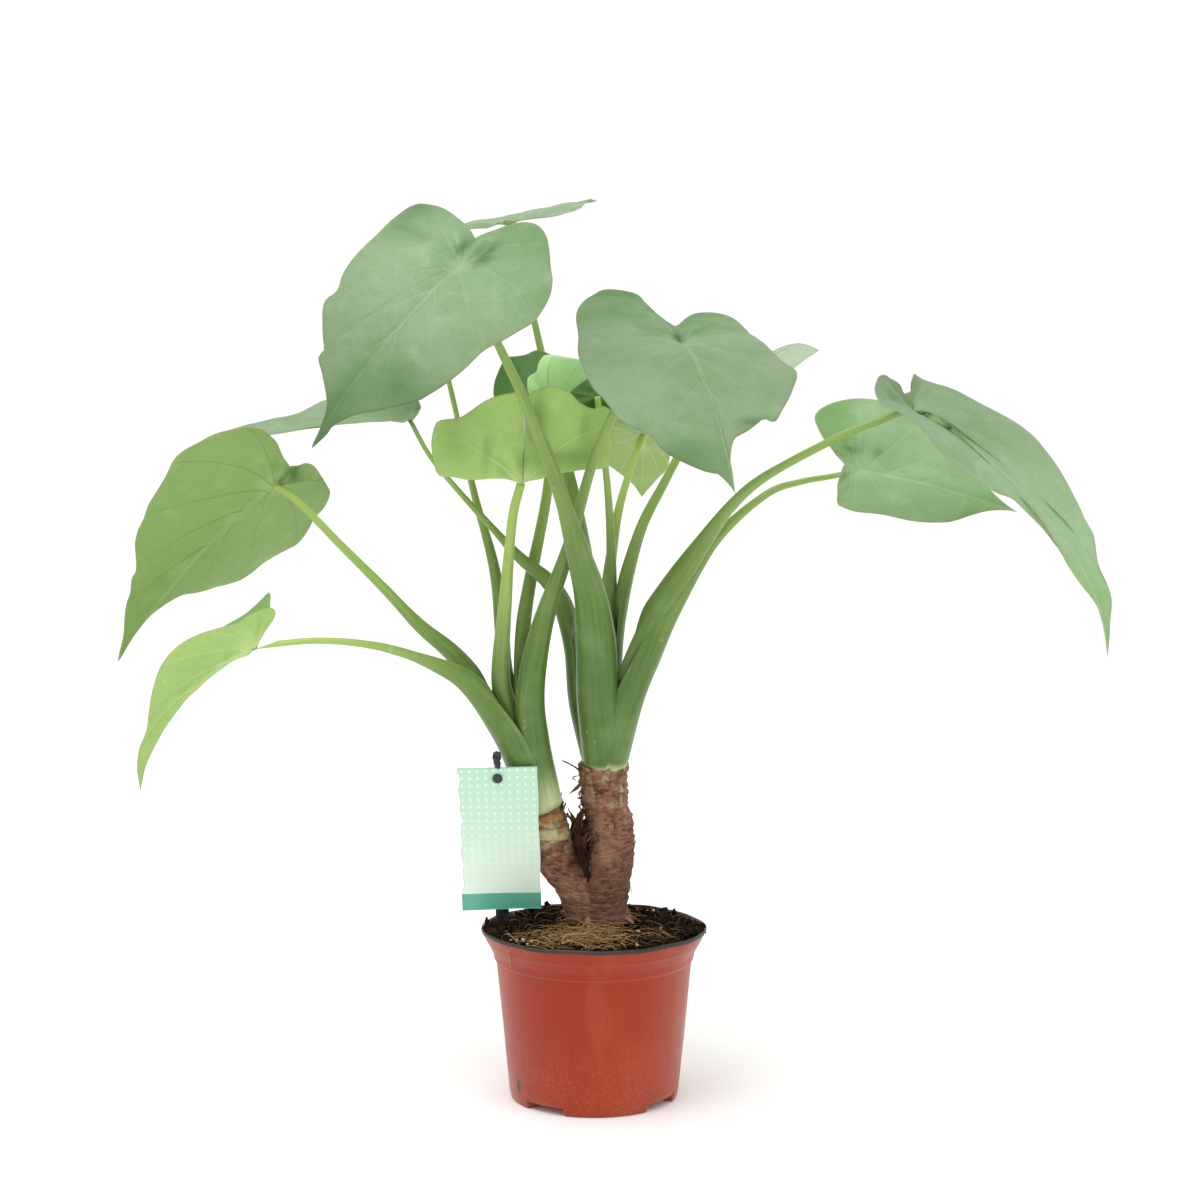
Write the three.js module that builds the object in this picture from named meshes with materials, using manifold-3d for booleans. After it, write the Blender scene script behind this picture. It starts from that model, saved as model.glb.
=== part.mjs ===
// Potted hooded dwarf elephant ear (Alocasia cucullata): heart-shaped hooded leaves on long stalks,
// two joined trunks, a thin nursery pot with its growing mix, and a plant label on a stake.
// Millimetres, +Z up. The origin is the centre of the pot's flat underside, and the front is -Y.
import * as THREE from 'three';
import { mergeVertices } from 'three/addons/utils/BufferGeometryUtils.js';
import Module from 'manifold-3d';

const wasm = await Module();
wasm.setup();

// Pot: a thermoformed nursery pot, 13 cm across its rim.
const RIM_R = 65;
const RIM_Z = 98;
const LIP = 1.6;
const WALL = 1.2;
const FOOT_R = 48.2;
const BODY_TOP_R = 56.4;
const BAND_Z = 78;
const BAND_STEP = 1.1;
const BAND_SPREAD = 0.7;
const FLARE_Z = 84;
const LIP_FOOT_R = 61;
const LIP_FOOT_Z = 92;
const FLOOR = 1.5;
const FLOOR_R = 37;
const STEP_H = 4;
const STEP_RUN = 1.5;
const TOE_R = 49.2;
const TOE_Z = 5;
const DRAIN_STEPS = 4;
const DRAIN_FIRST = 54;
const DRAIN_HALF = 15;
const DRAIN_HOLE = 6;
const POT_SIDES = 40;

// Growing mix, filled to just under the rim and heaped round the trunk.
const GAP = 0.3;
const MIX_EDGE_Z = 94.5;
const MIX_HEAP_Z = 99.5;
const MIX_SIDES = 30;
const MIX_RINGS = [44, 29, 14];
const HEAP_REACH = 34;

// Blades: thickness, the points across one half and from the stalk to the margin, and, as shares of the
// length, the height of the margin's waves and the depth of the dimple where the stalk meets it.
const BLADE_THICK = 0.8;
const WAVE = 0.007;
const DIMPLE = 0.02;
const HALF_POINTS = 14;
const RINGS = 4;

// Stalks: sections along each one, and the points of a section outside and inside its sheath.
const STALK_STEPS = 13;
const OUTER_POINTS = 7;
const INNER_POINTS = 4;

// Label: a card held by a button on a stake that leans forward. Heights run along the stake from
// where it enters the mix.
const LABEL_FOOT = [-52.9, 10, 96];
const LABEL_LEAN = 14;
const LABEL_ROLL = -1.2;
const CARD_W = 45.7;
const CARD_H = 90.5;
const CARD_THICK = 0.7;
const CARD_LOW = 12.5;
const CARD_CORNER = 1;
const STAKE_W = 7.6;
const STAKE_THICK = 1.6;
const STAKE_DEPTH = 17;
const STAKE_POINT = 9;
const STAKE_TOP = 112.5;
const NECK_FOOT = 15;
const NECK_HALF = 1.4;
const KNOB_HALF = 2.6;
const KNOB_H = 6;
const BUTTON_R = 2.9;
const BUTTON_THICK = 1.3;
const BUTTON_UP = 96.5;
const PEG_R = 1.5;

// Trunk: centre x, y, height and radius of each stem, from under the mix to its crown.
const TRUNK_SIDES = 12;
const SCAR_PITCH = 7.5;
const SCAR_DEPTH = 0.9;
const RIGHT_STEM = [
  [1, 12, 84, 15], [2, 12, 96, 19], [2, 12, 104, 18.5], [4, 12, 112, 15.5], [7.5, 12, 124, 13.4],
  [10, 12, 134, 12.8], [10.4, 12, 145, 13.2], [9.2, 12, 157, 13.2], [6.6, 12, 171, 13], [5.4, 12, 184, 14.2],
  [5.4, 12, 193, 14.6],
];
const LEFT_STEM = [
  [0, 12, 86, 12], [0, 12, 98, 16], [-3, 12, 108, 15], [-10, 12, 119, 12.5], [-18, 12, 130, 13.4],
  [-24, 12, 142, 13.9], [-28, 12, 155, 13.7], [-31, 12, 167, 12.6],
];

// Outlines of the blades in full view, from the tip to the notch, as shares of the length from seat
// to tip: the left half first, then the right one.
const OUTLINES = {
  1: [
    [
      [0, 1], [0.03, 0.93], [0.04, 0.88], [0.1, 0.8], [0.17, 0.74], [0.26, 0.65], [0.29, 0.59],
      [0.32, 0.49], [0.335, 0.4], [0.345, 0.3], [0.38, 0.2], [0.41, 0.075], [0.405, 0.01],
      [0.38, -0.08], [0.34, -0.15], [0.295, -0.2], [0.235, -0.27], [0.185, -0.315], [0.13, -0.335],
      [0.08, -0.32], [0.04, -0.28], [-0.005, -0.215], [-0.045, -0.148],
    ],
    [
      [0, 1], [0.01, 0.91], [0.04, 0.82], [0.13, 0.73], [0.2, 0.67], [0.2, 0.63], [0.25, 0.57],
      [0.33, 0.46], [0.32, 0.39], [0.35, 0.32], [0.375, 0.22], [0.39, 0.11], [0.395, 0], [0.385, -0.1],
      [0.355, -0.16], [0.31, -0.18], [0.25, -0.195], [0.18, -0.19], [0.087, -0.17], [0.045, -0.148],
    ],
  ],
  3: [
    [
      [0, 1], [0.05, 0.9], [0.1, 0.8], [0.15, 0.7], [0.15, 0.6], [0.135, 0.5], [0.12, 0.4],
      [0.11, 0.3], [0.12, 0.2], [0.13, 0.1], [0.11, 0.02], [0.06, -0.03], [0, -0.03],
    ],
    [
      [0, 1], [0.04, 0.9], [0.08, 0.8], [0.115, 0.7], [0.15, 0.6], [0.2, 0.55], [0.27, 0.5],
      [0.31, 0.4], [0.32, 0.25], [0.28, 0.1], [0.2, 0], [0.12, -0.04], [0.05, -0.05], [0, -0.03],
    ],
  ],
  4: [
    [
      [0, 1], [0.012, 0.98], [0.046, 0.9], [0.09, 0.84], [0.135, 0.78], [0.16, 0.73], [0.2, 0.68],
      [0.21, 0.64], [0.26, 0.59], [0.31, 0.545], [0.345, 0.495], [0.36, 0.45], [0.39, 0.39],
      [0.405, 0.33], [0.43, 0.24], [0.46, 0.18], [0.465, 0.125], [0.445, 0.065], [0.43, 0.015],
      [0.405, -0.035], [0.365, -0.085], [0.325, -0.12], [0.275, -0.145], [0.235, -0.155],
      [0.15, -0.15], [0.11, -0.135], [0.045, -0.11], [0, -0.1],
    ],
    [
      [0, 1], [0.004, 0.905], [0.008, 0.83], [0.014, 0.79], [0.03, 0.75], [0.055, 0.69], [0.09, 0.635],
      [0.125, 0.6], [0.185, 0.565], [0.26, 0.525], [0.375, 0.465], [0.44, 0.405], [0.45, 0.335],
      [0.475, 0.29], [0.5, 0.23], [0.515, 0.17], [0.48, 0.09], [0.455, 0.045], [0.445, -0.01],
      [0.42, -0.1], [0.4, -0.135], [0.355, -0.145], [0.27, -0.165], [0.205, -0.175], [0.155, -0.17],
      [0.075, -0.14], [0, -0.1],
    ],
  ],
  5: [
    [
      [0, 1], [0.03, 0.93], [0.045, 0.9], [0.07, 0.8], [0.08, 0.7], [0.13, 0.6], [0.185, 0.5],
      [0.225, 0.4], [0.23, 0.3], [0.21, 0.2], [0.18, 0.1], [0.155, 0], [0.17, -0.08], [0.165, -0.15],
      [0.14, -0.2], [0.11, -0.205], [0.085, -0.18], [0.06, -0.135], [0.03, -0.08], [0, -0.02],
    ],
    [
      [0, 1], [0.03, 0.93], [0.05, 0.9], [0.07, 0.8], [0.09, 0.7], [0.14, 0.6], [0.19, 0.5],
      [0.22, 0.4], [0.24, 0.3], [0.26, 0.2], [0.285, 0.1], [0.3, 0], [0.325, -0.1], [0.345, -0.19],
      [0.28, -0.17], [0.2, -0.14], [0.1, -0.08], [0, -0.02],
    ],
  ],
  6: [
    [
      [0, 1], [0.05, 0.88], [0.12, 0.75], [0.18, 0.6], [0.24, 0.45], [0.33, 0.3], [0.43, 0.2],
      [0.54, 0.1], [0.55, 0], [0.575, -0.1], [0.6, -0.2], [0.55, -0.3], [0.45, -0.4], [0.33, -0.45],
      [0.22, -0.43], [0.12, -0.36], [0.05, -0.25], [0, -0.09],
    ],
    [
      [0, 1], [0.05, 0.88], [0.12, 0.75], [0.18, 0.6], [0.22, 0.48], [0.26, 0.4], [0.33, 0.3],
      [0.42, 0.2], [0.465, 0.12], [0.43, 0.05], [0.37, 0], [0.355, -0.09], [0.3, -0.13], [0.24, -0.15],
      [0.17, -0.14], [0.08, -0.11], [0, -0.09],
    ],
  ],
  7: [
    [
      [0, 1], [0.05, 0.9], [0.15, 0.75], [0.27, 0.55], [0.36, 0.35], [0.41, 0.15], [0.43, 0],
      [0.47, -0.1], [0.49, -0.19], [0.495, -0.25], [0.487, -0.325], [0.47, -0.38], [0.44, -0.395],
      [0.357, -0.41], [0.3, -0.445], [0.21, -0.505], [0.15, -0.535], [0.085, -0.555], [0.03, -0.562],
      [0.004, -0.52], [0.003, -0.3], [0.002, -0.12], [0, -0.1],
    ],
    [
      [0, 1], [0.05, 0.9], [0.15, 0.75], [0.27, 0.55], [0.38, 0.35], [0.44, 0.15], [0.46, 0],
      [0.485, -0.11], [0.495, -0.2], [0.49, -0.3], [0.49, -0.39], [0.465, -0.437], [0.416, -0.46],
      [0.37, -0.45], [0.295, -0.49], [0.246, -0.543], [0.19, -0.58], [0.134, -0.594], [0.06, -0.575],
      [0.03, -0.56], [0.004, -0.5], [0.003, -0.3], [0.002, -0.12], [0, -0.1],
    ],
  ],
  8: [
    [
      [0, 1], [0.004, 0.93], [0.005, 0.88], [0.008, 0.84], [0.03, 0.768], [0.05, 0.735], [0.08, 0.72],
      [0.114, 0.7], [0.15, 0.671], [0.185, 0.647], [0.226, 0.66], [0.28, 0.575], [0.345, 0.465],
      [0.395, 0.345], [0.355, 0.27], [0.336, 0.165], [0.31, -0.03], [0.295, -0.155], [0.265, -0.235],
      [0.225, -0.267], [0.177, -0.273], [0.11, -0.245], [0.055, -0.188], [0, -0.13],
    ],
    [
      [0, 1], [0.02, 0.96], [0.055, 0.91], [0.1, 0.9], [0.2, 0.85], [0.26, 0.8], [0.3, 0.71],
      [0.345, 0.665], [0.395, 0.6], [0.435, 0.49], [0.467, 0.39], [0.47, 0.24], [0.463, 0.11],
      [0.414, -0.1], [0.383, -0.28], [0.34, -0.375], [0.285, -0.445], [0.225, -0.49], [0.18, -0.493],
      [0.135, -0.475], [0.085, -0.44], [0.06, -0.37], [0.04, -0.28], [0.028, -0.195], [0, -0.13],
    ],
  ],
  10: [
    [
      [0, 1], [0.03, 0.96], [0.06, 0.93], [0.1, 0.9], [0.14, 0.85], [0.18, 0.75], [0.23, 0.6],
      [0.28, 0.4], [0.3, 0.2], [0.28, 0], [0.24, -0.12], [0.17, -0.2], [0.08, -0.2], [0, -0.1],
    ],
    [
      [0, 1], [0.05, 0.9], [0.085, 0.8], [0.1, 0.7], [0.09, 0.6], [0.11, 0.5], [0.2, 0.4], [0.28, 0.3],
      [0.3, 0.15], [0.28, 0], [0.24, -0.1], [0.17, -0.2], [0.08, -0.2], [0, -0.1],
    ],
  ],
  11: [
    [
      [0, 1], [0.02, 0.96], [0.05, 0.9], [0.08, 0.85], [0.125, 0.78], [0.17, 0.73], [0.22, 0.66],
      [0.28, 0.53], [0.33, 0.39], [0.36, 0.2], [0.35, 0.05], [0.31, -0.1], [0.22, -0.2], [0.12, -0.17],
      [0, -0.08],
    ],
    [
      [0, 1], [0.025, 0.96], [0.055, 0.91], [0.09, 0.83], [0.11, 0.78], [0.135, 0.7], [0.14, 0.58],
      [0.15, 0.44], [0.17, 0.25], [0.18, 0.1], [0.17, 0], [0.13, -0.1], [0.08, -0.12], [0, -0.08],
    ],
  ],
  12: [
    [
      [0, 1], [0.033, 0.905], [0.072, 0.84], [0.07, 0.79], [0.08, 0.73], [0.12, 0.67], [0.142, 0.64],
      [0.157, 0.59], [0.17, 0.555], [0.19, 0.48], [0.21, 0.41], [0.225, 0.34], [0.233, 0.3],
      [0.238, 0.2], [0.218, 0.1], [0.175, 0], [0.13, -0.06], [0.095, -0.1], [0.08, -0.085],
      [0.05, -0.06], [0.025, -0.055], [0, -0.065],
    ],
    [
      [0, 1], [0.003, 0.93], [0.005, 0.87], [0.015, 0.83], [0.037, 0.77], [0.049, 0.69], [0.045, 0.62],
      [0.048, 0.54], [0.072, 0.46], [0.09, 0.435], [0.139, 0.4], [0.19, 0.335], [0.213, 0.26],
      [0.198, 0.2], [0.167, 0.1], [0.15, 0.035], [0.165, 0], [0.2, -0.03], [0.2, -0.05],
      [0.19, -0.075], [0.157, -0.105], [0.11, -0.13], [0.07, -0.13], [0.03, -0.11], [0.005, -0.085],
      [0, -0.065],
    ],
  ],
};

// Each leaf. The blade: seat is where the stalk meets it, tip its far point, face the way that its
// upper side looks. Its outline comes from OUTLINES, or else wide, lobes, sides and full shape it, as
// shares of the length from seat to tip (left, right, seen from above with the tip ahead). droop bends
// the midrib down, sway bends it sideways, cup and vee raise the margins and hood raises the rear lobes
// (degrees). The stalk: route from the crown to the seat, radii along it, out the way that it leans,
// and sheath the share of its length that wraps the next stalk.
const LEAVES = [
  {
    seat: [-71, -85, 485], tip: [-148, -143, 392], face: [-0.2, -0.8, 0.55], wide: 0.82, droop: 30,
    hood: [10, 15], cup: [-20, -10], outline: OUTLINES[1],
    route: [[5, 9, 194.5], [2.5, -3, 232], [1, -10, 269], [-2, -17, 295], [-8, -24, 318], [-21, -32, 362],
      [-38, -50, 408], [-52, -63, 440], [-71, -84, 484]],
    radii: [11.5, 12.3, 11.4, 8, 4.5, 3.6, 2.8, 2.1, 1.8], out: [-0.2, -1], sheath: 0.44,
  },
  {
    seat: [-51, 98, 502], tip: [2, 188, 511], face: [-0.2, 0, 1], wide: 0.9, droop: 6, hood: [4, 4],
    lobe: 0.9, cup: [2, -3], vee: 0,
    route: [[5, 18, 195], [1, 34, 250], [-4, 54, 298], [-12, 74, 340], [-21, 89, 376], [-32, 98, 428],
      [-44, 98, 478], [-51, 98, 501.5]],
    radii: [7, 6, 5, 4, 2.5, 1.9, 1.8], out: [-0.2, 1], sheath: 0.34,
  },
  {
    seat: [-108, 60, 390], tip: [-223, 80, 377], face: [-0.1, -0.2, 1], wide: 0.85, droop: 4,
    hood: [70, 20], lobe: 0.6, cup: [5, 5], outline: OUTLINES[3],
    route: [[3, 15, 194.5], [-6, 20, 228], [-10, 25, 257], [-17, 27, 281], [-26, 30, 296], [-43, 34, 310],
      [-60, 38, 328], [-76, 42, 345], [-95, 50, 367], [-108, 59.5, 389]],
    radii: [10, 9, 7.5, 6, 4, 2.2, 1.7, 1.4, 1.3], out: [-1, 0.5], sheath: 0.4,
  },
  {
    seat: [-184, 20, 355], tip: [-273, 10, 253], face: [-0.6, 0.7, 0.5], wide: 0.9, droop: 25,
    hood: [15, 50], lobe: 0.6, cup: [5, 12], outline: OUTLINES[4],
    route: [[-33, 13, 171], [-48, 9, 208], [-66, 7, 239], [-81, 8, 258], [-100, 10, 274], [-121, 12, 296],
      [-145, 14, 320], [-168, 18, 343], [-184, 20, 354.5]],
    radii: [10, 9, 7, 5, 3.2, 2.5, 2.2, 2.1], out: [-1, 0.4], sheath: 0.36,
  },
  {
    seat: [-193, -20, 267], tip: [-255, -40, 188], face: [-0.75, 0.35, 0.6], wide: 0.46, droop: 56,
    hood: [5, 5], lobe: 0.75, cup: [60, 60], vee: 40, outline: OUTLINES[5],
    route: [[-31, 10, 169.5], [-39, 0, 197], [-52, -7, 221], [-70, -11, 243], [-88, -12, 254],
      [-120, -13, 265], [-155, -15, 268.5], [-190, -20, 264.6]],
    radii: [12.2, 12, 9.5, 6, 2.9, 2.1, 1.8, 1.7], out: [-1, -0.5], sheath: 0.4,
  },
  {
    seat: [-25.5, 62, 400], tip: [37, 66, 427], face: [-0.3, 0.05, 1], wide: 0.95, droop: 10,
    hood: [8, 8], cup: [78, 92], vee: 15, outline: OUTLINES[6],
    route: [[-32, 14, 172], [-40, 18, 225], [-41, 28, 266], [-37, 40, 295], [-28, 56, 340], [-25, 63, 372],
      [-25.5, 62, 399.5]],
    radii: [7, 6, 5, 4, 3.2, 2.8, 2.6], out: [-0.4, 0.6], sheath: 0.42,
  },
  {
    seat: [-41, -10, 361], tip: [-58, 92, 363], face: [0, -0.05, 1], wide: 1.2, droop: 25,
    hood: [85, 85], lobe: 1.7, turn: 0.15, cup: [5, 5], vee: 2, outline: OUTLINES[7],
    route: [[-34, 8, 172], [-46, 1, 218], [-53, -4, 245], [-50, -9, 292], [-46, -9, 337],
      [-41, -6.5, 357.7]],
    radii: [8, 7, 5.5, 4, 2.9, 2.5], out: [-0.6, -0.8], sheath: 0.34,
  },
  {
    seat: [48, -60, 443], tip: [73, -165, 370], face: [0.12, -0.5, 0.8], wide: 0.92, droop: 40,
    hood: [10, 10], cup: [-10, -10], outline: OUTLINES[8],
    route: [[-28, 8, 170.5], [-35, -4, 211], [-36, -8, 241], [-29, -9, 278], [-14, -10, 322], [0, -18, 372],
      [17, -36, 411], [34, -51, 432], [48, -60, 442.5]],
    radii: [10, 9.4, 7.6, 4.8, 3.2, 2.6, 2.3, 2.1], out: [0.5, -1], sheath: 0.42,
  },
  {
    seat: [-90, 62, 434], tip: [-128, 150, 418], face: [0, -0.1, 1], wide: 0.85, droop: 25,
    hood: [20, 20], cup: [15, 15],
    route: [[-35, 16, 172], [-50, 24, 240], [-57, 42, 298], [-70, 58, 345], [-82, 62, 399],
      [-90, 62, 433.5]],
    radii: [6, 5, 4, 2.4, 1.6, 1.4], out: [-0.8, 0.6], sheath: 0.35,
  },
  {
    seat: [67, 30, 401], tip: [133, 110, 425], face: [0.1, 0.9, 0.5], wide: 0.9, droop: 20,
    hood: [20, 20], lobe: 0.8, cup: [10, 35], outline: OUTLINES[10],
    route: [[9, 16, 195], [10, 16, 240], [14, 16, 280], [26, 17, 326], [40, 22, 354], [55, 27, 381],
      [67, 29, 399]],
    radii: [7, 6, 5, 3.3, 2.4, 2], out: [1, 0.5], sheath: 0.5,
  },
  {
    seat: [29.5, 55, 382], tip: [29.5, 155, 330.5], face: [0, 0.4, 0.9], wide: 0.8, droop: 35, hood: [30, 30],
    cup: [10, 10], lobe: 0.6, outline: OUTLINES[11],
    route: [[7, 12, 195], [6, 14, 240], [8, 20, 292], [13, 31, 331], [20.5, 43, 358], [29.5, 55, 381.5]],
    radii: [8, 7, 5, 3.2, 2.2, 1.9], out: [0.3, -0.6], sheath: 0.4,
  },
  {
    seat: [178, -40, 405], tip: [280, -90, 272], face: [0.65, -0.5, 0.6], wide: 0.55, droop: 42,
    hood: [45, 45], lobe: 0.38, cup: [15, 8], sway: -0.06, outline: OUTLINES[12],
    route: [[8, 11, 194.5], [16, 3, 238], [27, -3, 268], [42, -8, 295], [62, -12, 325], [78, -18, 347],
      [97, -24, 364], [137, -34, 387], [158, -38, 396], [178, -40, 404.5]],
    radii: [9.5, 9, 8.5, 6.4, 3.4, 2.4, 2.2, 2.1], out: [1, -0.4], sheath: 0.34,
  },
  {
    seat: [152, 20, 363], tip: [240, 0, 340], face: [0, -0.7, 0.7], wide: 0.95, droop: 15, hood: [15, 110],
    lobes: [1.1, 0.3], sides: [1.1, 1], cup: [12, 32], full: [0, 0.3],
    route: [[7, 10, 194.5], [18, -1, 233], [29, -5, 258], [44, -6, 287], [70, -2, 326], [98, 4, 350],
      [118, 14, 356], [138, 23, 358.5], [152, 20.5, 362.5]],
    radii: [12.5, 11, 9, 6, 3.4, 2.3, 1.8, 1.5], out: [1, -0.6], sheath: 0.4,
  },
  {
    seat: [2, 22, 404], tip: [-26, 24, 389], face: [0, 1, -0.2], wide: 0.8, droop: 8, hood: [5, 5],
    cup: [15, 15], vee: 10, lobe: 0.4,
    route: [[7, 17, 196], [10, 19, 263], [10, 20.5, 310], [8, 20, 350], [2, 18.5, 404.5]],
    radii: [5, 4, 3, 2, 1.7], out: [0, 1], sheath: 0.3,
  },
];

// The crowns from the outermost sheath inward, as places in the list above.
const RIGHT_CROWN = [12, 0, 11, 2, 10, 9, 1, 13];
const LEFT_CROWN = [4, 7, 3, 6, 5, 8];

const LEAF_GREEN = 0x8fae84;
const STALK_GREEN = 0x7aa554;
const BARK = 0x7d5a44;
const MIX_BROWN = 0x3a291d;
const TERRACOTTA = 0xb0492f;
const CARD_MINT = 0xbfe3c6;
const STAKE_BLACK = 0x20262b;

const rad = (degrees) => degrees * Math.PI / 180;
const clamp = (x, low, high) => Math.min(Math.max(x, low), high);
const mix = (a, b, t) => a + (b - a) * t;
const smooth = (x) => x * x * (3 - 2 * x);
const bump = (x, width) => Math.exp(-((x / width) ** 2));
const vec = (a) => new THREE.Vector3(a[0], a[1], a[2]);

const PLATE = { bevelEnabled: false, curveSegments: 4 };
const STAKE_BACK = CARD_THICK / 2 + GAP + STAKE_THICK;
const label = new THREE.Group();
label.position.fromArray(LABEL_FOOT);
label.rotation.set(rad(LABEL_LEAN), rad(LABEL_ROLL), 0);
label.updateMatrix();

// A value read from a list spread evenly from 0 to 1.
function along(list, t) {
  const x = clamp(t, 0, 1) * (list.length - 1);
  const i = Math.min(Math.floor(x), list.length - 2);
  return mix(list[i], list[i + 1], x - i);
}

// Points evenly spaced by length on a smooth curve through the given ones.
function spaced(points, count) {
  const first = points[0].clone().multiplyScalar(2).sub(points[1]);
  const last = points.at(-1).clone().multiplyScalar(2).sub(points.at(-2));
  const all = [first, ...points, last];
  const fine = [];
  for (let i = 1; i < all.length - 2; i += 1) {
    for (let k = 0; k < 24; k += 1) {
      const t = k / 24;
      const p = new THREE.Vector3();
      for (const axis of ['x', 'y', 'z']) {
        const [a, b, c, d] = [all[i - 1][axis], all[i][axis], all[i + 1][axis], all[i + 2][axis]];
        p[axis] = 0.5 * (2 * b + (c - a) * t + (2 * a - 5 * b + 4 * c - d) * t * t
          + (3 * b - 3 * c + d - a) * t * t * t);
      }
      fine.push(p);
    }
  }
  fine.push(points.at(-1).clone());
  const reach = [0];
  for (let i = 1; i < fine.length; i += 1) reach.push(reach[i - 1] + fine[i].distanceTo(fine[i - 1]));
  const out = [];
  let j = 1;
  for (let k = 0; k <= count; k += 1) {
    const want = reach.at(-1) * k / count;
    while (j < fine.length - 1 && reach[j] < want) j += 1;
    const t = clamp((want - reach[j - 1]) / (reach[j] - reach[j - 1]), 0, 1);
    out.push(fine[j - 1].clone().lerp(fine[j], t));
  }
  return out;
}

function geometryOf(points, triangles) {
  const geometry = new THREE.BufferGeometry();
  const places = points.flatMap((p) => [p.x, p.y, p.z]);
  geometry.setAttribute('position', new THREE.Float32BufferAttribute(places, 3));
  geometry.setIndex(triangles.flat());
  return geometry;
}

function solidOf(geometry) {
  const bare = geometry.clone();
  bare.deleteAttribute('normal');
  bare.deleteAttribute('uv');
  const merged = mergeVertices(bare, 1e-4);
  return new wasm.Manifold(new wasm.Mesh({
    numProp: 3,
    vertProperties: new Float32Array(merged.attributes.position.array),
    triVerts: new Uint32Array(merged.index.array),
  }));
}

function geometryOfSolid(solid) {
  const mesh = solid.getMesh();
  const geometry = new THREE.BufferGeometry();
  geometry.setAttribute('position', new THREE.Float32BufferAttribute(mesh.vertProperties, 3));
  geometry.setIndex(new THREE.Uint32BufferAttribute(mesh.triVerts, 1));
  return geometry;
}

// The largest piece of a solid, without the scraps that a cut leaves.
function largest(solid) {
  const pieces = solid.decompose();
  pieces.sort((a, b) => b.volume() - a.volume());
  return pieces[0];
}

// A closed skin over rows of points, each row one closed ring, with a flat cap at either end.
function lofted(rows) {
  const n = rows[0].length;
  const points = rows.flat();
  const triangles = [];
  for (let i = 0; i < rows.length - 1; i += 1) {
    for (let k = 0; k < n; k += 1) {
      const a = i * n + k;
      const b = i * n + (k + 1) % n;
      triangles.push([a, b, b + n], [a, b + n, a + n]);
    }
  }
  for (const [start, flip] of [[0, true], [(rows.length - 1) * n, false]]) {
    const middle = new THREE.Vector3();
    for (let k = 0; k < n; k += 1) middle.addScaledVector(points[start + k], 1 / n);
    points.push(middle);
    const m = points.length - 1;
    for (let k = 0; k < n; k += 1) {
      const a = start + k;
      const b = start + (k + 1) % n;
      triangles.push(flip ? [m, b, a] : [m, a, b]);
    }
  }
  return geometryOf(points, triangles);
}

// Half of a blade's outline, flat, from the tip to the notch between the rear lobes.
function halfOutline(leaf, side) {
  const flat = (list) => spaced(list.map(([u, v]) => new THREE.Vector3(u, v, 0)), HALF_POINTS);
  if (leaf.outline) return flat(leaf.outline[side]).map((p) => [p.x, p.y]);
  const lobe = leaf.lobes?.[side] ?? leaf.lobe ?? 1;
  const low = 0.345 * lobe;
  const points = [
    [0, 1], [0.02, 0.93], [0.058, 0.85], [0.135, 0.745], [0.26, 0.6], [0.37, 0.42], [0.445, 0.22],
    [0.475, 0.02], [0.46, -0.15 * lobe], [0.39, -0.28 * lobe], [0.27, -low],
  ];
  for (const [u, share] of [[0.16, 0.28], [0.085, 0.62], [0.035, 0.88], [0, 1]]) {
    points.push([u, -mix(low, 0.1, share)]);
  }
  return flat(points).map((p) => {
    const ahead = clamp(p.y, 0, 1);
    const fullness = 1 + (leaf.full?.[side] ?? 0) * 4 * ahead * (1 - ahead);
    return [p.x * leaf.wide * (leaf.sides?.[side] ?? 1) * fullness, p.y];
  });
}

// The whole outline: right side from the tip to the notch, then left side back to the tip.
function outlineOf(leaf) {
  const right = halfOutline(leaf, 1).map(([u, v], i) => ({ u, v, place: i / HALF_POINTS, side: 1 }));
  const left = halfOutline(leaf, 0).map(([u, v], i) => ({ u: -u, v, place: i / HALF_POINTS, side: -1 }));
  return [...right, ...left.slice(1, -1).reverse()];
}

// A flat place on the blade (u across, v ahead) moved to the bent blade.
function bend(leaf, across0, v) {
  const u = across0 + (leaf.sway ?? 0) * Math.sin(Math.PI * clamp(v, 0, 1) ** 2);
  const right = 0.5 + 0.5 * clamp(u / 0.06, -1, 1);
  const vee = rad(leaf.vee ?? 6);
  const droop = rad(leaf.droop);
  const hood = rad(mix(leaf.hood[0], leaf.hood[1], right));
  const ahead = clamp(v, 0, 1.2);
  let y = droop ? Math.sin(droop * ahead) / droop : ahead;
  let z = droop ? (Math.cos(droop * ahead) - 1) / droop : 0;
  let angle = droop * ahead;
  if (v < 0) {
    const turn = 0.345 * (leaf.lobe ?? 1) * (leaf.turn ?? 1);
    const rate = hood / turn;
    const round = Math.min(-v, turn);
    const straight = -v - round;
    y = -Math.sin(rate * round) / rate - straight * Math.cos(hood);
    z = (1 - Math.cos(rate * round)) / rate + straight * Math.sin(hood);
    angle = rate * round;
  }
  const cup = rad(mix(leaf.cup[0], leaf.cup[1], right));
  let rate = (cup - vee) / (0.475 * leaf.wide);
  if (Math.abs(rate) < 1e-6) rate = 1e-6;
  const q = Math.abs(u);
  const across = (Math.sin(vee + rate * q) - Math.sin(vee)) / rate;
  const rise = -(Math.cos(vee + rate * q) - Math.cos(vee)) / rate;
  return new THREE.Vector3(Math.sign(u) * across, y + rise * Math.sin(angle), z + rise * Math.cos(angle));
}

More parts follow.
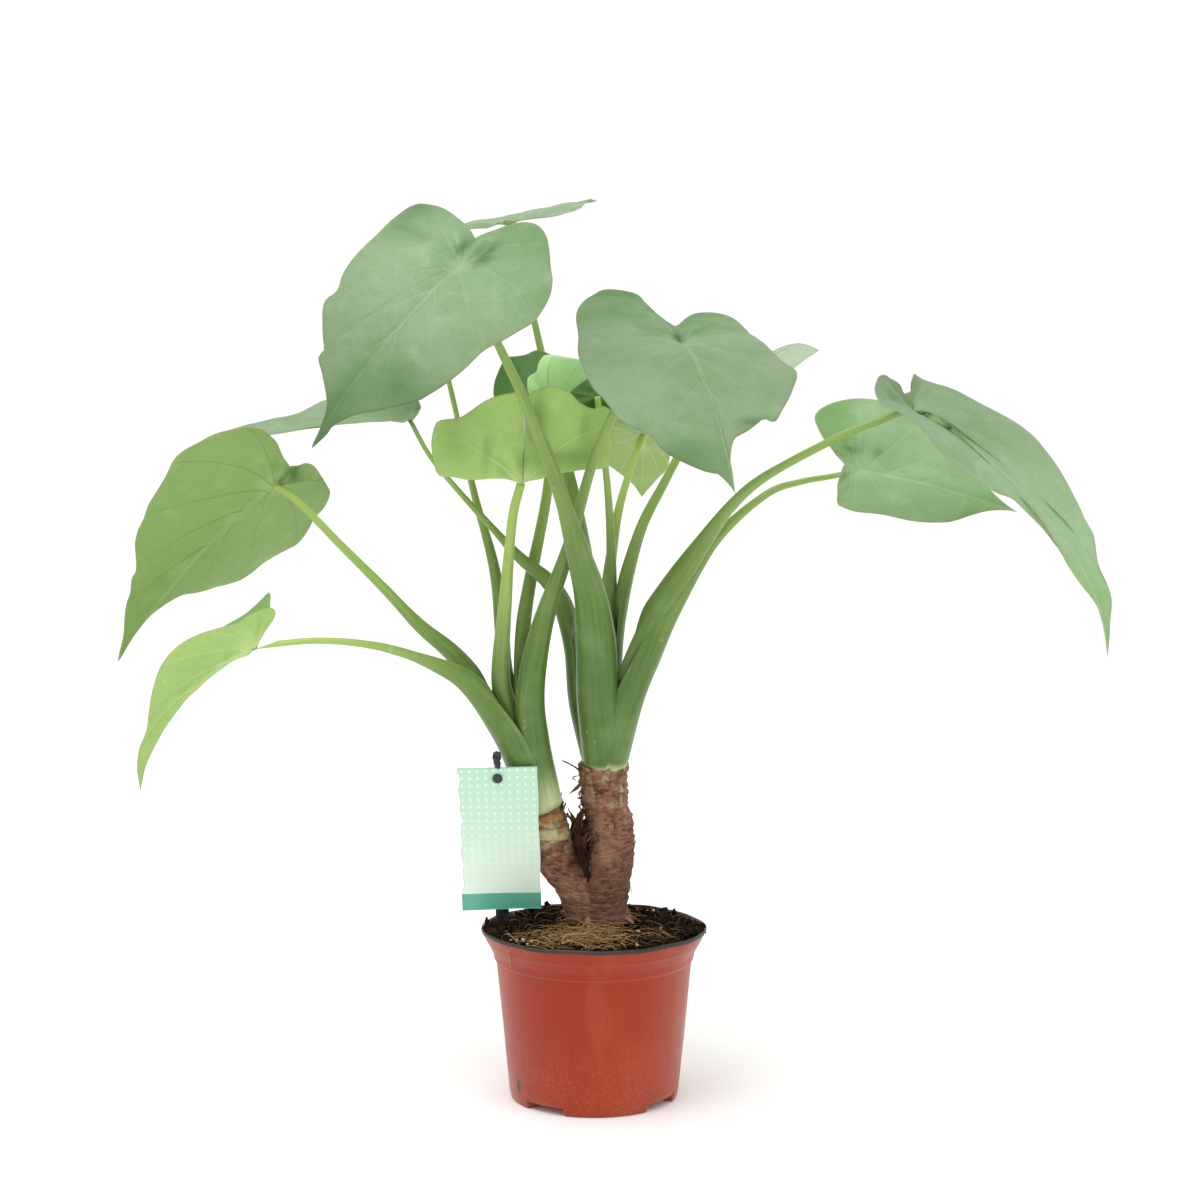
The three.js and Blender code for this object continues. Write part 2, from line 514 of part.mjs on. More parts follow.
// The frame that lays a bent blade from its seat to its tip with its upper side to face.
function placement(leaf) {
  const seat = vec(leaf.seat);
  const chord = vec(leaf.tip).sub(seat);
  const tip = bend(leaf, 0, 1);
  const scale = chord.length() / tip.length();
  const ahead = chord.clone().normalize();
  const up = vec(leaf.face).addScaledVector(ahead, -vec(leaf.face).dot(ahead)).normalize();
  const flatAhead = tip.clone().normalize();
  const flatUp = new THREE.Vector3(0, 0, 1).addScaledVector(flatAhead, -flatAhead.z).normalize();
  const from = new THREE.Matrix4().makeBasis(flatAhead.clone().cross(flatUp), flatAhead, flatUp).transpose();
  const to = new THREE.Matrix4().makeBasis(ahead.clone().cross(up), ahead, up);
  const turn = to.multiply(from);
  return (p) => p.clone().multiplyScalar(scale).applyMatrix4(turn).add(seat);
}

// The blade's middle surface, with the vertex normals of its upper side.
function bladeSheet(leaf) {
  const outline = outlineOf(leaf);
  const place = placement(leaf);
  const n = outline.length;
  const points = [];
  const add = (u, v, share, edge) => {
    const p = bend(leaf, u, v);
    const wave = WAVE * Math.sin(5 * Math.PI * edge.place + edge.side * 0.9) * Math.sin(Math.PI * edge.place);
    p.z += wave * share ** 3 - DIMPLE * bump(Math.hypot(u, v), 0.07);
    points.push(place(p));
  };
  add(0, 0, 0, { place: 0, side: 1 });
  for (let ring = 1; ring <= RINGS; ring += 1) {
    const share = ring / RINGS;
    for (const edge of outline) add(edge.u * share, edge.v * share, share, edge);
  }
  const triangles = [];
  for (let k = 0; k < n; k += 1) triangles.push([0, 1 + (k + 1) % n, 1 + k]);
  for (let ring = 1; ring < RINGS; ring += 1) {
    const inner = 1 + (ring - 1) * n;
    const outer = 1 + ring * n;
    for (let k = 0; k < n; k += 1) {
      const j = (k + 1) % n;
      triangles.push([inner + k, outer + j, outer + k], [inner + k, inner + j, outer + j]);
    }
  }
  const normals = points.map(() => new THREE.Vector3());
  for (const [a, b, c] of triangles) {
    const face = points[b].clone().sub(points[a]).cross(points[c].clone().sub(points[a]));
    for (const i of [a, b, c]) normals[i].add(face);
  }
  normals.forEach((p) => p.normalize());
  return { points, normals, triangles, rim: n };
}

// A blade of even thickness: both faces are split into the same triangles.
function blade(leaf, thickness) {
  const { points, normals, triangles, rim } = bladeSheet(leaf);
  const count = points.length;
  const both = [];
  for (const side of [0.5, -0.5]) {
    points.forEach((p, i) => both.push(p.clone().addScaledVector(normals[i], side * thickness)));
  }
  const faces = triangles.flatMap(([a, b, c]) => [[a, b, c], [a + count, c + count, b + count]]);
  const start = count - rim;
  for (let k = 0; k < rim; k += 1) {
    const a = start + k;
    const b = start + (k + 1) % rim;
    faces.push([a, b, b + count], [a, b + count, a + count]);
  }
  return geometryOf(both, faces);
}

// A closed flat outline moved outward by an even amount.
function offset(outline, amount) {
  return outline.map(([x, y], i) => {
    const [px, py] = outline.at(i - 1);
    const [nx, ny] = outline[(i + 1) % outline.length];
    const before = new THREE.Vector2(y - py, px - x).normalize();
    const after = new THREE.Vector2(ny - y, x - nx).normalize();
    const share = Math.max(1 + before.dot(after), 0.25);
    return [x + amount * (before.x + after.x) / share, y + amount * (before.y + after.y) / share];
  });
}

// One section of a stalk: round above, and an open sheath where wrap is near 1.
function section(radius, wrap) {
  const half = mix(rad(112), rad(104), wrap);
  const inside = radius - Math.min(0.32 * radius, 3);
  const points = [];
  for (let k = 0; k < OUTER_POINTS; k += 1) {
    const a = mix(-half, half, k / (OUTER_POINTS - 1));
    points.push([radius * Math.cos(a), radius * Math.sin(a)]);
  }
  for (let k = 0; k < INNER_POINTS; k += 1) {
    const t = (k + 1) / (INNER_POINTS + 1);
    const roundAngle = mix(half, 2 * Math.PI - half, t);
    const sheathAngle = mix(half, -half, t);
    points.push([
      mix(radius * Math.cos(roundAngle), inside * Math.cos(sheathAngle), wrap),
      mix(radius * Math.sin(roundAngle), inside * Math.sin(sheathAngle), wrap),
    ]);
  }
  return points;
}

function stalk(leaf, grow) {
  const path = spaced(leaf.route.map(vec), STALK_STEPS);
  const outward = new THREE.Vector3(leaf.out[0], leaf.out[1], 0).normalize();
  outward.z = -0.6;
  const rows = path.map((p, i) => {
    const ahead = path[Math.min(i + 1, STALK_STEPS)].clone().sub(path[Math.max(i - 1, 0)]).normalize();
    const out = outward.clone().addScaledVector(ahead, -outward.dot(ahead)).normalize();
    const across = ahead.clone().cross(out);
    const t = i / STALK_STEPS;
    const wrap = 0.9 * (1 - smooth(clamp((t - 0.55 * leaf.sheath) / (0.45 * leaf.sheath), 0, 1)));
    const past = (i === STALK_STEPS ? grow : 0) - (i === 0 ? grow : 0);
    return offset(section(along(leaf.radii, t), wrap), 1.3 * grow).map(([x, y]) => p.clone()
      .addScaledVector(out, x).addScaledVector(across, y).addScaledVector(ahead, past));
  });
  return lofted(rows);
}

// One stem of the trunk, ringed by the scars of old leaves.
function stem(rows, grow) {
  const centres = spaced(rows.map(vec), Math.round((rows.at(-1)[2] - rows[0][2]) / (SCAR_PITCH / 2)));
  const rings = centres.map((p, i) => {
    const low = rows.findLastIndex((row) => row[2] <= p.z + 1e-6);
    const k = clamp(low, 0, rows.length - 2);
    const share = clamp((p.z - rows[k][2]) / (rows[k + 1][2] - rows[k][2]), 0, 1);
    const radius = mix(rows[k][3], rows[k + 1][3], share) + (i % 2 ? SCAR_DEPTH / 2 : -SCAR_DEPTH / 2);
    const ring = [];
    for (let s = 0; s < TRUNK_SIDES; s += 1) {
      const a = 2 * Math.PI * s / TRUNK_SIDES;
      const uneven = 0.5 * Math.sin(3 * a + p.z / 9) + 0.35 * Math.sin(5 * a - p.z / 6);
      const r = radius + uneven + grow;
      ring.push(new THREE.Vector3(p.x + r * Math.cos(a), p.y + r * Math.sin(a), p.z));
    }
    return ring;
  });
  if (grow) {
    rings[0].forEach((p) => { p.z -= grow; });
    rings.at(-1).forEach((p) => { p.z += grow; });
  }
  return lofted(rings);
}

function trunk(grow) {
  return solidOf(stem(RIGHT_STEM, grow)).add(solidOf(stem(LEFT_STEM, grow)));
}

// A body of revolution whose profile may change with the angle: profile(angle) lists [radius, height]
// from the axis underneath, round the outside, to the axis above.
function turned(profile, sides) {
  const columns = [];
  for (let s = 0; s < sides; s += 1) {
    const a = 2 * Math.PI * s / sides;
    columns.push(profile(a, s).map(([r, z]) => new THREE.Vector3(r * Math.cos(a), r * Math.sin(a), z)));
  }
  const inner = columns[0].length - 2;
  const points = [columns[0][0], columns[0].at(-1)];
  for (const column of columns) points.push(...column.slice(1, -1));
  const triangles = [];
  for (let s = 0; s < sides; s += 1) {
    const a = 2 + s * inner;
    const b = 2 + ((s + 1) % sides) * inner;
    triangles.push([0, b, a], [1, a + inner - 1, b + inner - 1]);
    for (let i = 0; i < inner - 1; i += 1) {
      triangles.push([a + i, b + i, b + i + 1], [a + i, b + i + 1, a + i + 1]);
    }
  }
  return geometryOf(points, triangles);
}

// The height of the pot's underside near its edge: raised over each drain step.
function stepHeight(angle) {
  const period = 2 * Math.PI / DRAIN_STEPS;
  const off = (angle - rad(DRAIN_FIRST) + 2.5 * period) % period - period / 2;
  return Math.abs(off) < rad(DRAIN_HALF) ? STEP_H : 0;
}

const bodyRadius = (z) => mix(TOE_R, BODY_TOP_R, (z - TOE_Z) / (BAND_Z - TOE_Z));
const bandRadius = BODY_TOP_R + BAND_STEP + BAND_SPREAD;

function pot() {
  const shell = solidOf(turned((angle) => {
    const rise = stepHeight(angle);
    return [
      [0, 0], [FLOOR_R, 0], [FLOOR_R + STEP_RUN, rise], [FOOT_R, rise],
      [bodyRadius(TOE_Z + rise / 2), TOE_Z + rise / 2], [BODY_TOP_R, BAND_Z],
      [BODY_TOP_R + BAND_STEP, BAND_Z + WALL], [bandRadius, FLARE_Z], [LIP_FOOT_R, LIP_FOOT_Z],
      [RIM_R, RIM_Z - LIP], [RIM_R, RIM_Z - LIP / 4], [RIM_R - LIP, RIM_Z], [LIP_FOOT_R - WALL, LIP_FOOT_Z],
      [bandRadius - WALL, FLARE_Z], [BODY_TOP_R - WALL, BAND_Z],
      [bodyRadius(TOE_Z + FLOOR + rise) - WALL, TOE_Z + FLOOR + rise], [FOOT_R - WALL, FLOOR + rise],
      [FLOOR_R + STEP_RUN, FLOOR + rise], [FLOOR_R, FLOOR], [0, FLOOR],
    ];
  }, POT_SIDES));
  let cut = shell;
  for (let k = 0; k < DRAIN_STEPS; k += 1) {
    const hole = new THREE.BoxGeometry(DRAIN_HOLE, DRAIN_HOLE, 3 * STEP_H);
    hole.translate((FLOOR_R + STEP_RUN + FOOT_R) / 2, 0, STEP_H);
    hole.rotateZ(rad(DRAIN_FIRST) + k * 2 * Math.PI / DRAIN_STEPS);
    cut = cut.subtract(solidOf(hole));
  }
  return geometryOfSolid(largest(cut));
}

// The height of the mix, heaped towards the trunk and a little uneven.
function mixHeight(radius, angle) {
  const x = radius * Math.cos(angle) - 1;
  const y = radius * Math.sin(angle) - 10;
  const heap = bump(Math.hypot(x, y), HEAP_REACH);
  const uneven = 0.7 * Math.sin(3 * angle + radius / 7) + 0.5 * Math.sin(7 * angle - radius / 5);
  return mix(MIX_EDGE_Z, MIX_HEAP_Z, heap) + uneven * clamp(radius / 20, 0, 1);
}

function growingMix() {
  const edge = LIP_FOOT_R - WALL - 2 * GAP;
  const reach = STAKE_DEPTH + MIX_HEAP_Z - MIX_EDGE_Z + 2 * GAP;
  const body = solidOf(turned((angle) => {
    const top = [edge, ...MIX_RINGS].map((r) => [r, mixHeight(r, angle)]);
    return [
      [0, FLOOR + GAP], [FLOOR_R - 1, FLOOR + GAP], [FLOOR_R + 1, FLOOR + STEP_H + 2 * GAP],
      [FOOT_R - WALL - 3 * GAP, FLOOR + STEP_H + 2 * GAP], [bodyRadius(9) - WALL - 2 * GAP, 9 + STEP_H],
      [BODY_TOP_R - WALL - 2 * GAP, BAND_Z], [bandRadius - WALL - 2 * GAP, FLARE_Z + GAP],
      ...top, [0, MIX_HEAP_Z],
    ];
  }, MIX_SIDES));
  const slot = new THREE.BoxGeometry(STAKE_W + 2 * GAP, STAKE_THICK + 2 * GAP, reach);
  slot.translate(0, STAKE_BACK - STAKE_THICK / 2, reach / 2 - STAKE_DEPTH - GAP);
  slot.applyMatrix4(label.matrix);
  return geometryOfSolid(largest(body.subtract(trunk(GAP)).subtract(solidOf(slot))));
}

// The label's card: a thin plate with round corners and a hole for the peg of its button.
function card() {
  const w = CARD_W / 2;
  const low = CARD_LOW;
  const high = CARD_LOW + CARD_H;
  const c = CARD_CORNER;
  const outline = new THREE.Shape();
  outline.moveTo(-w + c, low).lineTo(w - c, low).quadraticCurveTo(w, low, w, low + c);
  outline.lineTo(w, high - c).quadraticCurveTo(w, high, w - c, high).lineTo(-w + c, high);
  outline.quadraticCurveTo(-w, high, -w, high - c).lineTo(-w, low + c).quadraticCurveTo(-w, low, -w + c, low);
  const hole = new THREE.Path();
  hole.absarc(0, BUTTON_UP, PEG_R + GAP, 0, 2 * Math.PI, true);
  outline.holes.push(hole);
  const plate = new THREE.ExtrudeGeometry(outline, { ...PLATE, depth: CARD_THICK });
  plate.rotateX(Math.PI / 2);
  plate.translate(0, CARD_THICK / 2, 0);
  return plate;
}

// The stake: a flat strip with a point in the mix, a knob above the card and a hole for the peg.
function stake() {
  const w = STAKE_W / 2;
  const outline = new THREE.Shape();
  const half = [
    [w, STAKE_POINT - STAKE_DEPTH], [w, STAKE_TOP - NECK_FOOT], [NECK_HALF, STAKE_TOP - 2 * KNOB_H],
    [NECK_HALF, STAKE_TOP - KNOB_H], [KNOB_HALF, STAKE_TOP - 0.7 * KNOB_H], [0.8 * KNOB_HALF, STAKE_TOP - 1],
  ];
  outline.moveTo(0, -STAKE_DEPTH);
  for (const [x, z] of half) outline.lineTo(x, z);
  outline.lineTo(0, STAKE_TOP);
  for (const [x, z] of half.reverse()) outline.lineTo(-x, z);
  const hole = new THREE.Path();
  hole.absarc(0, BUTTON_UP, PEG_R + GAP, 0, 2 * Math.PI, true);
  outline.holes.push(hole);
  const strip = new THREE.ExtrudeGeometry(outline, { ...PLATE, depth: STAKE_THICK });
  strip.rotateX(Math.PI / 2);
  strip.translate(0, STAKE_BACK, 0);
  return strip;
}

// The button: a low round head in front of the card, on a peg that runs through card and stake.
function button() {
  const seat = -CARD_THICK / 2 - GAP;
  const profile = [
    [0, seat - BUTTON_THICK], [0.7 * BUTTON_R, seat - BUTTON_THICK], [BUTTON_R, seat - 0.6 * BUTTON_THICK],
    [BUTTON_R, seat], [PEG_R, seat], [PEG_R, STAKE_BACK], [0, STAKE_BACK],
  ];
  const turnedHead = new THREE.LatheGeometry(profile.map(([r, y]) => new THREE.Vector2(r, y)), 12);
  turnedHead.translate(0, 0, BUTTON_UP);
  return turnedHead;
}

const material = (color, roughness) => new THREE.MeshStandardMaterial({ color, roughness, metalness: 0 });
const bladeLook = material(LEAF_GREEN, 0.6);
const stalkLook = material(STALK_GREEN, 0.5);
const stakeLook = material(STAKE_BLACK, 0.5);

function addMesh(group, name, geometry, look) {
  const mesh = new THREE.Mesh(geometry, look);
  mesh.name = name;
  group.add(mesh);
}

const part = new THREE.Group();
addMesh(part, 'pot', pot(), material(TERRACOTTA, 0.5));
addMesh(part, 'growing_mix', growingMix(), material(MIX_BROWN, 1));
addMesh(part, 'trunk', geometryOfSolid(largest(trunk(0))), material(BARK, 0.9));

// Every stalk stays clear of the trunk, of its own blade and of the sheaths that wrap it.
let taken = trunk(GAP);
for (const index of [...RIGHT_CROWN, ...LEFT_CROWN]) {
  const leaf = LEAVES[index];
  const name = `leaf_${String(index + 1).padStart(2, '0')}`;
  const keepOff = solidOf(blade(leaf, BLADE_THICK + 2 * GAP));
  const solid = largest(solidOf(stalk(leaf, 0)).subtract(taken).subtract(keepOff));
  taken = taken.add(solidOf(stalk(leaf, GAP)));
  addMesh(part, `${name}_stalk`, geometryOfSolid(solid), stalkLook);
  addMesh(part, `${name}_blade`, blade(leaf, BLADE_THICK), bladeLook);
}

addMesh(label, 'label_card', card(), material(CARD_MINT, 0.5));
addMesh(label, 'label_stake', stake(), stakeLook);
addMesh(label, 'label_button', button(), stakeLook);
part.add(label);

export default part;
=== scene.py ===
import math

import bpy
import numpy as np
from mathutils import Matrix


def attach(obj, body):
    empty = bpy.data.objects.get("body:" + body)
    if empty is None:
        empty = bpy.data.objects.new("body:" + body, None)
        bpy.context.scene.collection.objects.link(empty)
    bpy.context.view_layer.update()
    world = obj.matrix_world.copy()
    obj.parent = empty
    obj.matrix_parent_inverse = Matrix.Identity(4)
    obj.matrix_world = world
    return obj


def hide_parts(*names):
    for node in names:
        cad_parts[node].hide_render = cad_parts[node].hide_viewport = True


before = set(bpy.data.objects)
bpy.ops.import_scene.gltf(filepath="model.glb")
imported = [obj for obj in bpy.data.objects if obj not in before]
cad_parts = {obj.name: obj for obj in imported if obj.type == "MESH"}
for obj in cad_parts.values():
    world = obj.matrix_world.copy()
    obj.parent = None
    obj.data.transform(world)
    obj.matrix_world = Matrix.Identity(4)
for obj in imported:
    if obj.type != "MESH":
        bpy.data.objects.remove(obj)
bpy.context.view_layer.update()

# Potted hooded dwarf elephant ear. All sizes below are in millimetres and become metres in add_piece.
MM = 0.001

# Camera and its aim, in metres, with a long lens in front of the plant and a little above it.
CAMERA_AT = (0.0, -1.876, 0.569)
CAMERA_AIM = (0.0035, 0.0, 0.290)
LENS = 100

# Blade meshes: points along one half of the outline, rings from the stalk to the margin, thickness, and,
# as shares of the length, the height of the margin's waves and the depth of the dimple at the stalk.
HALF_POINTS = 84
RINGS = 44
BLADE_THICK = 0.6
WAVE = 0.007
DIMPLE = 0.02

# Side veins of one half: share of the midrib where it leaves, and the places on the outline (0 at the
# tip, 1 at the notch) that it heads for first and reaches last.
SIDE_VEINS = [(0, 0.86, 0.8), (0, 0.68, 0.57), (0.03, 0.52, 0.42), (0.17, 0.37, 0.27), (0.38, 0.25, 0.16)]

# Stalk meshes: steps along, points outside and inside the sheath of one section.
STALK_STEPS = 90
OUTER_POINTS = 30
INNER_POINTS = 17

# Outlines of the blades in full view, from the tip to the notch, as shares of the length from seat
# to tip: the left half first, then the right one.
OUTLINES = {
    1: (
        [
            (0, 1), (0.03, 0.93), (0.04, 0.88), (0.1, 0.8), (0.17, 0.74), (0.26, 0.65), (0.29, 0.59),
            (0.32, 0.49), (0.335, 0.4), (0.345, 0.3), (0.38, 0.2), (0.41, 0.075), (0.405, 0.01),
            (0.38, -0.08), (0.34, -0.15), (0.295, -0.2), (0.235, -0.27), (0.185, -0.315),
            (0.13, -0.335), (0.08, -0.32), (0.04, -0.28), (-0.005, -0.215), (-0.045, -0.148),
        ],
        [
            (0, 1), (0.01, 0.91), (0.04, 0.82), (0.13, 0.73), (0.2, 0.67), (0.2, 0.63), (0.25, 0.57),
            (0.33, 0.46), (0.32, 0.39), (0.35, 0.32), (0.375, 0.22), (0.39, 0.11), (0.395, 0),
            (0.385, -0.1), (0.355, -0.16), (0.31, -0.18), (0.25, -0.195), (0.18, -0.19),
            (0.087, -0.17), (0.045, -0.148),
        ],
    ),
    3: (
        [
            (0, 1), (0.05, 0.9), (0.1, 0.8), (0.15, 0.7), (0.15, 0.6), (0.135, 0.5), (0.12, 0.4),
            (0.11, 0.3), (0.12, 0.2), (0.13, 0.1), (0.11, 0.02), (0.06, -0.03), (0, -0.03),
        ],
        [
            (0, 1), (0.04, 0.9), (0.08, 0.8), (0.115, 0.7), (0.15, 0.6), (0.2, 0.55), (0.27, 0.5),
            (0.31, 0.4), (0.32, 0.25), (0.28, 0.1), (0.2, 0), (0.12, -0.04), (0.05, -0.05), (0, -0.03),
        ],
    ),
    4: (
        [
            (0, 1), (0.012, 0.98), (0.046, 0.9), (0.09, 0.84), (0.135, 0.78), (0.16, 0.73),
            (0.2, 0.68), (0.21, 0.64), (0.26, 0.59), (0.31, 0.545), (0.345, 0.495), (0.36, 0.45),
            (0.39, 0.39), (0.405, 0.33), (0.43, 0.24), (0.46, 0.18), (0.465, 0.125), (0.445, 0.065),
            (0.43, 0.015), (0.405, -0.035), (0.365, -0.085), (0.325, -0.12), (0.275, -0.145),
            (0.235, -0.155), (0.15, -0.15), (0.11, -0.135), (0.045, -0.11), (0, -0.1),
        ],
        [
            (0, 1), (0.004, 0.905), (0.008, 0.83), (0.014, 0.79), (0.03, 0.75), (0.055, 0.69),
            (0.09, 0.635), (0.125, 0.6), (0.185, 0.565), (0.26, 0.525), (0.375, 0.465), (0.44, 0.405),
            (0.45, 0.335), (0.475, 0.29), (0.5, 0.23), (0.515, 0.17), (0.48, 0.09), (0.455, 0.045),
            (0.445, -0.01), (0.42, -0.1), (0.4, -0.135), (0.355, -0.145), (0.27, -0.165),
            (0.205, -0.175), (0.155, -0.17), (0.075, -0.14), (0, -0.1),
        ],
    ),
    5: (
        [
            (0, 1), (0.03, 0.93), (0.045, 0.9), (0.07, 0.8), (0.08, 0.7), (0.13, 0.6), (0.185, 0.5),
            (0.225, 0.4), (0.23, 0.3), (0.21, 0.2), (0.18, 0.1), (0.155, 0), (0.17, -0.08),
            (0.165, -0.15), (0.14, -0.2), (0.11, -0.205), (0.085, -0.18), (0.06, -0.135),
            (0.03, -0.08), (0, -0.02),
        ],
        [
            (0, 1), (0.03, 0.93), (0.05, 0.9), (0.07, 0.8), (0.09, 0.7), (0.14, 0.6), (0.19, 0.5),
            (0.22, 0.4), (0.24, 0.3), (0.26, 0.2), (0.285, 0.1), (0.3, 0), (0.325, -0.1),
            (0.345, -0.19), (0.28, -0.17), (0.2, -0.14), (0.1, -0.08), (0, -0.02),
        ],
    ),
    6: (
        [
            (0, 1), (0.05, 0.88), (0.12, 0.75), (0.18, 0.6), (0.24, 0.45), (0.33, 0.3), (0.43, 0.2),
            (0.54, 0.1), (0.55, 0), (0.575, -0.1), (0.6, -0.2), (0.55, -0.3), (0.45, -0.4),
            (0.33, -0.45), (0.22, -0.43), (0.12, -0.36), (0.05, -0.25), (0, -0.09),
        ],
        [
            (0, 1), (0.05, 0.88), (0.12, 0.75), (0.18, 0.6), (0.22, 0.48), (0.26, 0.4), (0.33, 0.3),
            (0.42, 0.2), (0.465, 0.12), (0.43, 0.05), (0.37, 0), (0.355, -0.09), (0.3, -0.13),
            (0.24, -0.15), (0.17, -0.14), (0.08, -0.11), (0, -0.09),
        ],
    ),
    7: (
        [
            (0, 1), (0.05, 0.9), (0.15, 0.75), (0.27, 0.55), (0.36, 0.35), (0.41, 0.15), (0.43, 0),
            (0.47, -0.1), (0.49, -0.19), (0.495, -0.25), (0.487, -0.325), (0.47, -0.38),
            (0.44, -0.395), (0.357, -0.41), (0.3, -0.445), (0.21, -0.505), (0.15, -0.535),
            (0.085, -0.555), (0.03, -0.562), (0.004, -0.52), (0.003, -0.3), (0.002, -0.12), (0, -0.1),
        ],
        [
            (0, 1), (0.05, 0.9), (0.15, 0.75), (0.27, 0.55), (0.38, 0.35), (0.44, 0.15), (0.46, 0),
            (0.485, -0.11), (0.495, -0.2), (0.49, -0.3), (0.49, -0.39), (0.465, -0.437),
            (0.416, -0.46), (0.37, -0.45), (0.295, -0.49), (0.246, -0.543), (0.19, -0.58),
            (0.134, -0.594), (0.06, -0.575), (0.03, -0.56), (0.004, -0.5), (0.003, -0.3), (0.002, -0.12),
            (0, -0.1),
        ],
    ),
    8: (
        [
            (0, 1), (0.004, 0.93), (0.005, 0.88), (0.008, 0.84), (0.03, 0.768), (0.05, 0.735),
            (0.08, 0.72), (0.114, 0.7), (0.15, 0.671), (0.185, 0.647), (0.226, 0.66), (0.28, 0.575),
            (0.345, 0.465), (0.395, 0.345), (0.355, 0.27), (0.336, 0.165), (0.31, -0.03),
            (0.295, -0.155), (0.265, -0.235), (0.225, -0.267), (0.177, -0.273), (0.11, -0.245),
            (0.055, -0.188), (0, -0.13),
        ],
        [
            (0, 1), (0.02, 0.96), (0.055, 0.91), (0.1, 0.9), (0.2, 0.85), (0.26, 0.8), (0.3, 0.71),
            (0.345, 0.665), (0.395, 0.6), (0.435, 0.49), (0.467, 0.39), (0.47, 0.24), (0.463, 0.11),
            (0.414, -0.1), (0.383, -0.28), (0.34, -0.375), (0.285, -0.445), (0.225, -0.49),
            (0.18, -0.493), (0.135, -0.475), (0.085, -0.44), (0.06, -0.37), (0.04, -0.28),
            (0.028, -0.195), (0, -0.13),
        ],
    ),
    10: (
        [
            (0, 1), (0.03, 0.96), (0.06, 0.93), (0.1, 0.9), (0.14, 0.85), (0.18, 0.75), (0.23, 0.6),
            (0.28, 0.4), (0.3, 0.2), (0.28, 0), (0.24, -0.12), (0.17, -0.2), (0.08, -0.2), (0, -0.1),
        ],
        [
            (0, 1), (0.05, 0.9), (0.085, 0.8), (0.1, 0.7), (0.09, 0.6), (0.11, 0.5), (0.2, 0.4),
            (0.28, 0.3), (0.3, 0.15), (0.28, 0), (0.24, -0.1), (0.17, -0.2), (0.08, -0.2), (0, -0.1),
        ],
    ),
    11: (
        [
            (0, 1), (0.02, 0.96), (0.05, 0.9), (0.08, 0.85), (0.125, 0.78), (0.17, 0.73), (0.22, 0.66),
            (0.28, 0.53), (0.33, 0.39), (0.36, 0.2), (0.35, 0.05), (0.31, -0.1), (0.22, -0.2),
            (0.12, -0.17), (0, -0.08),
        ],
        [
            (0, 1), (0.025, 0.96), (0.055, 0.91), (0.09, 0.83), (0.11, 0.78), (0.135, 0.7),
            (0.14, 0.58), (0.15, 0.44), (0.17, 0.25), (0.18, 0.1), (0.17, 0), (0.13, -0.1),
            (0.08, -0.12), (0, -0.08),
        ],
    ),
    12: (
        [
            (0, 1), (0.033, 0.905), (0.072, 0.84), (0.07, 0.79), (0.08, 0.73), (0.12, 0.67),
            (0.142, 0.64), (0.157, 0.59), (0.17, 0.555), (0.19, 0.48), (0.21, 0.41), (0.225, 0.34),
            (0.233, 0.3), (0.238, 0.2), (0.218, 0.1), (0.175, 0), (0.13, -0.06), (0.095, -0.1),
            (0.08, -0.085), (0.05, -0.06), (0.025, -0.055), (0, -0.065),
        ],
        [
            (0, 1), (0.003, 0.93), (0.005, 0.87), (0.015, 0.83), (0.037, 0.77), (0.049, 0.69),
            (0.045, 0.62), (0.048, 0.54), (0.072, 0.46), (0.09, 0.435), (0.139, 0.4), (0.19, 0.335),
            (0.213, 0.26), (0.198, 0.2), (0.167, 0.1), (0.15, 0.035), (0.165, 0), (0.2, -0.03),
            (0.2, -0.05), (0.19, -0.075), (0.157, -0.105), (0.11, -0.13), (0.07, -0.13), (0.03, -0.11),
            (0.005, -0.085), (0, -0.065),
        ],
    ),
}

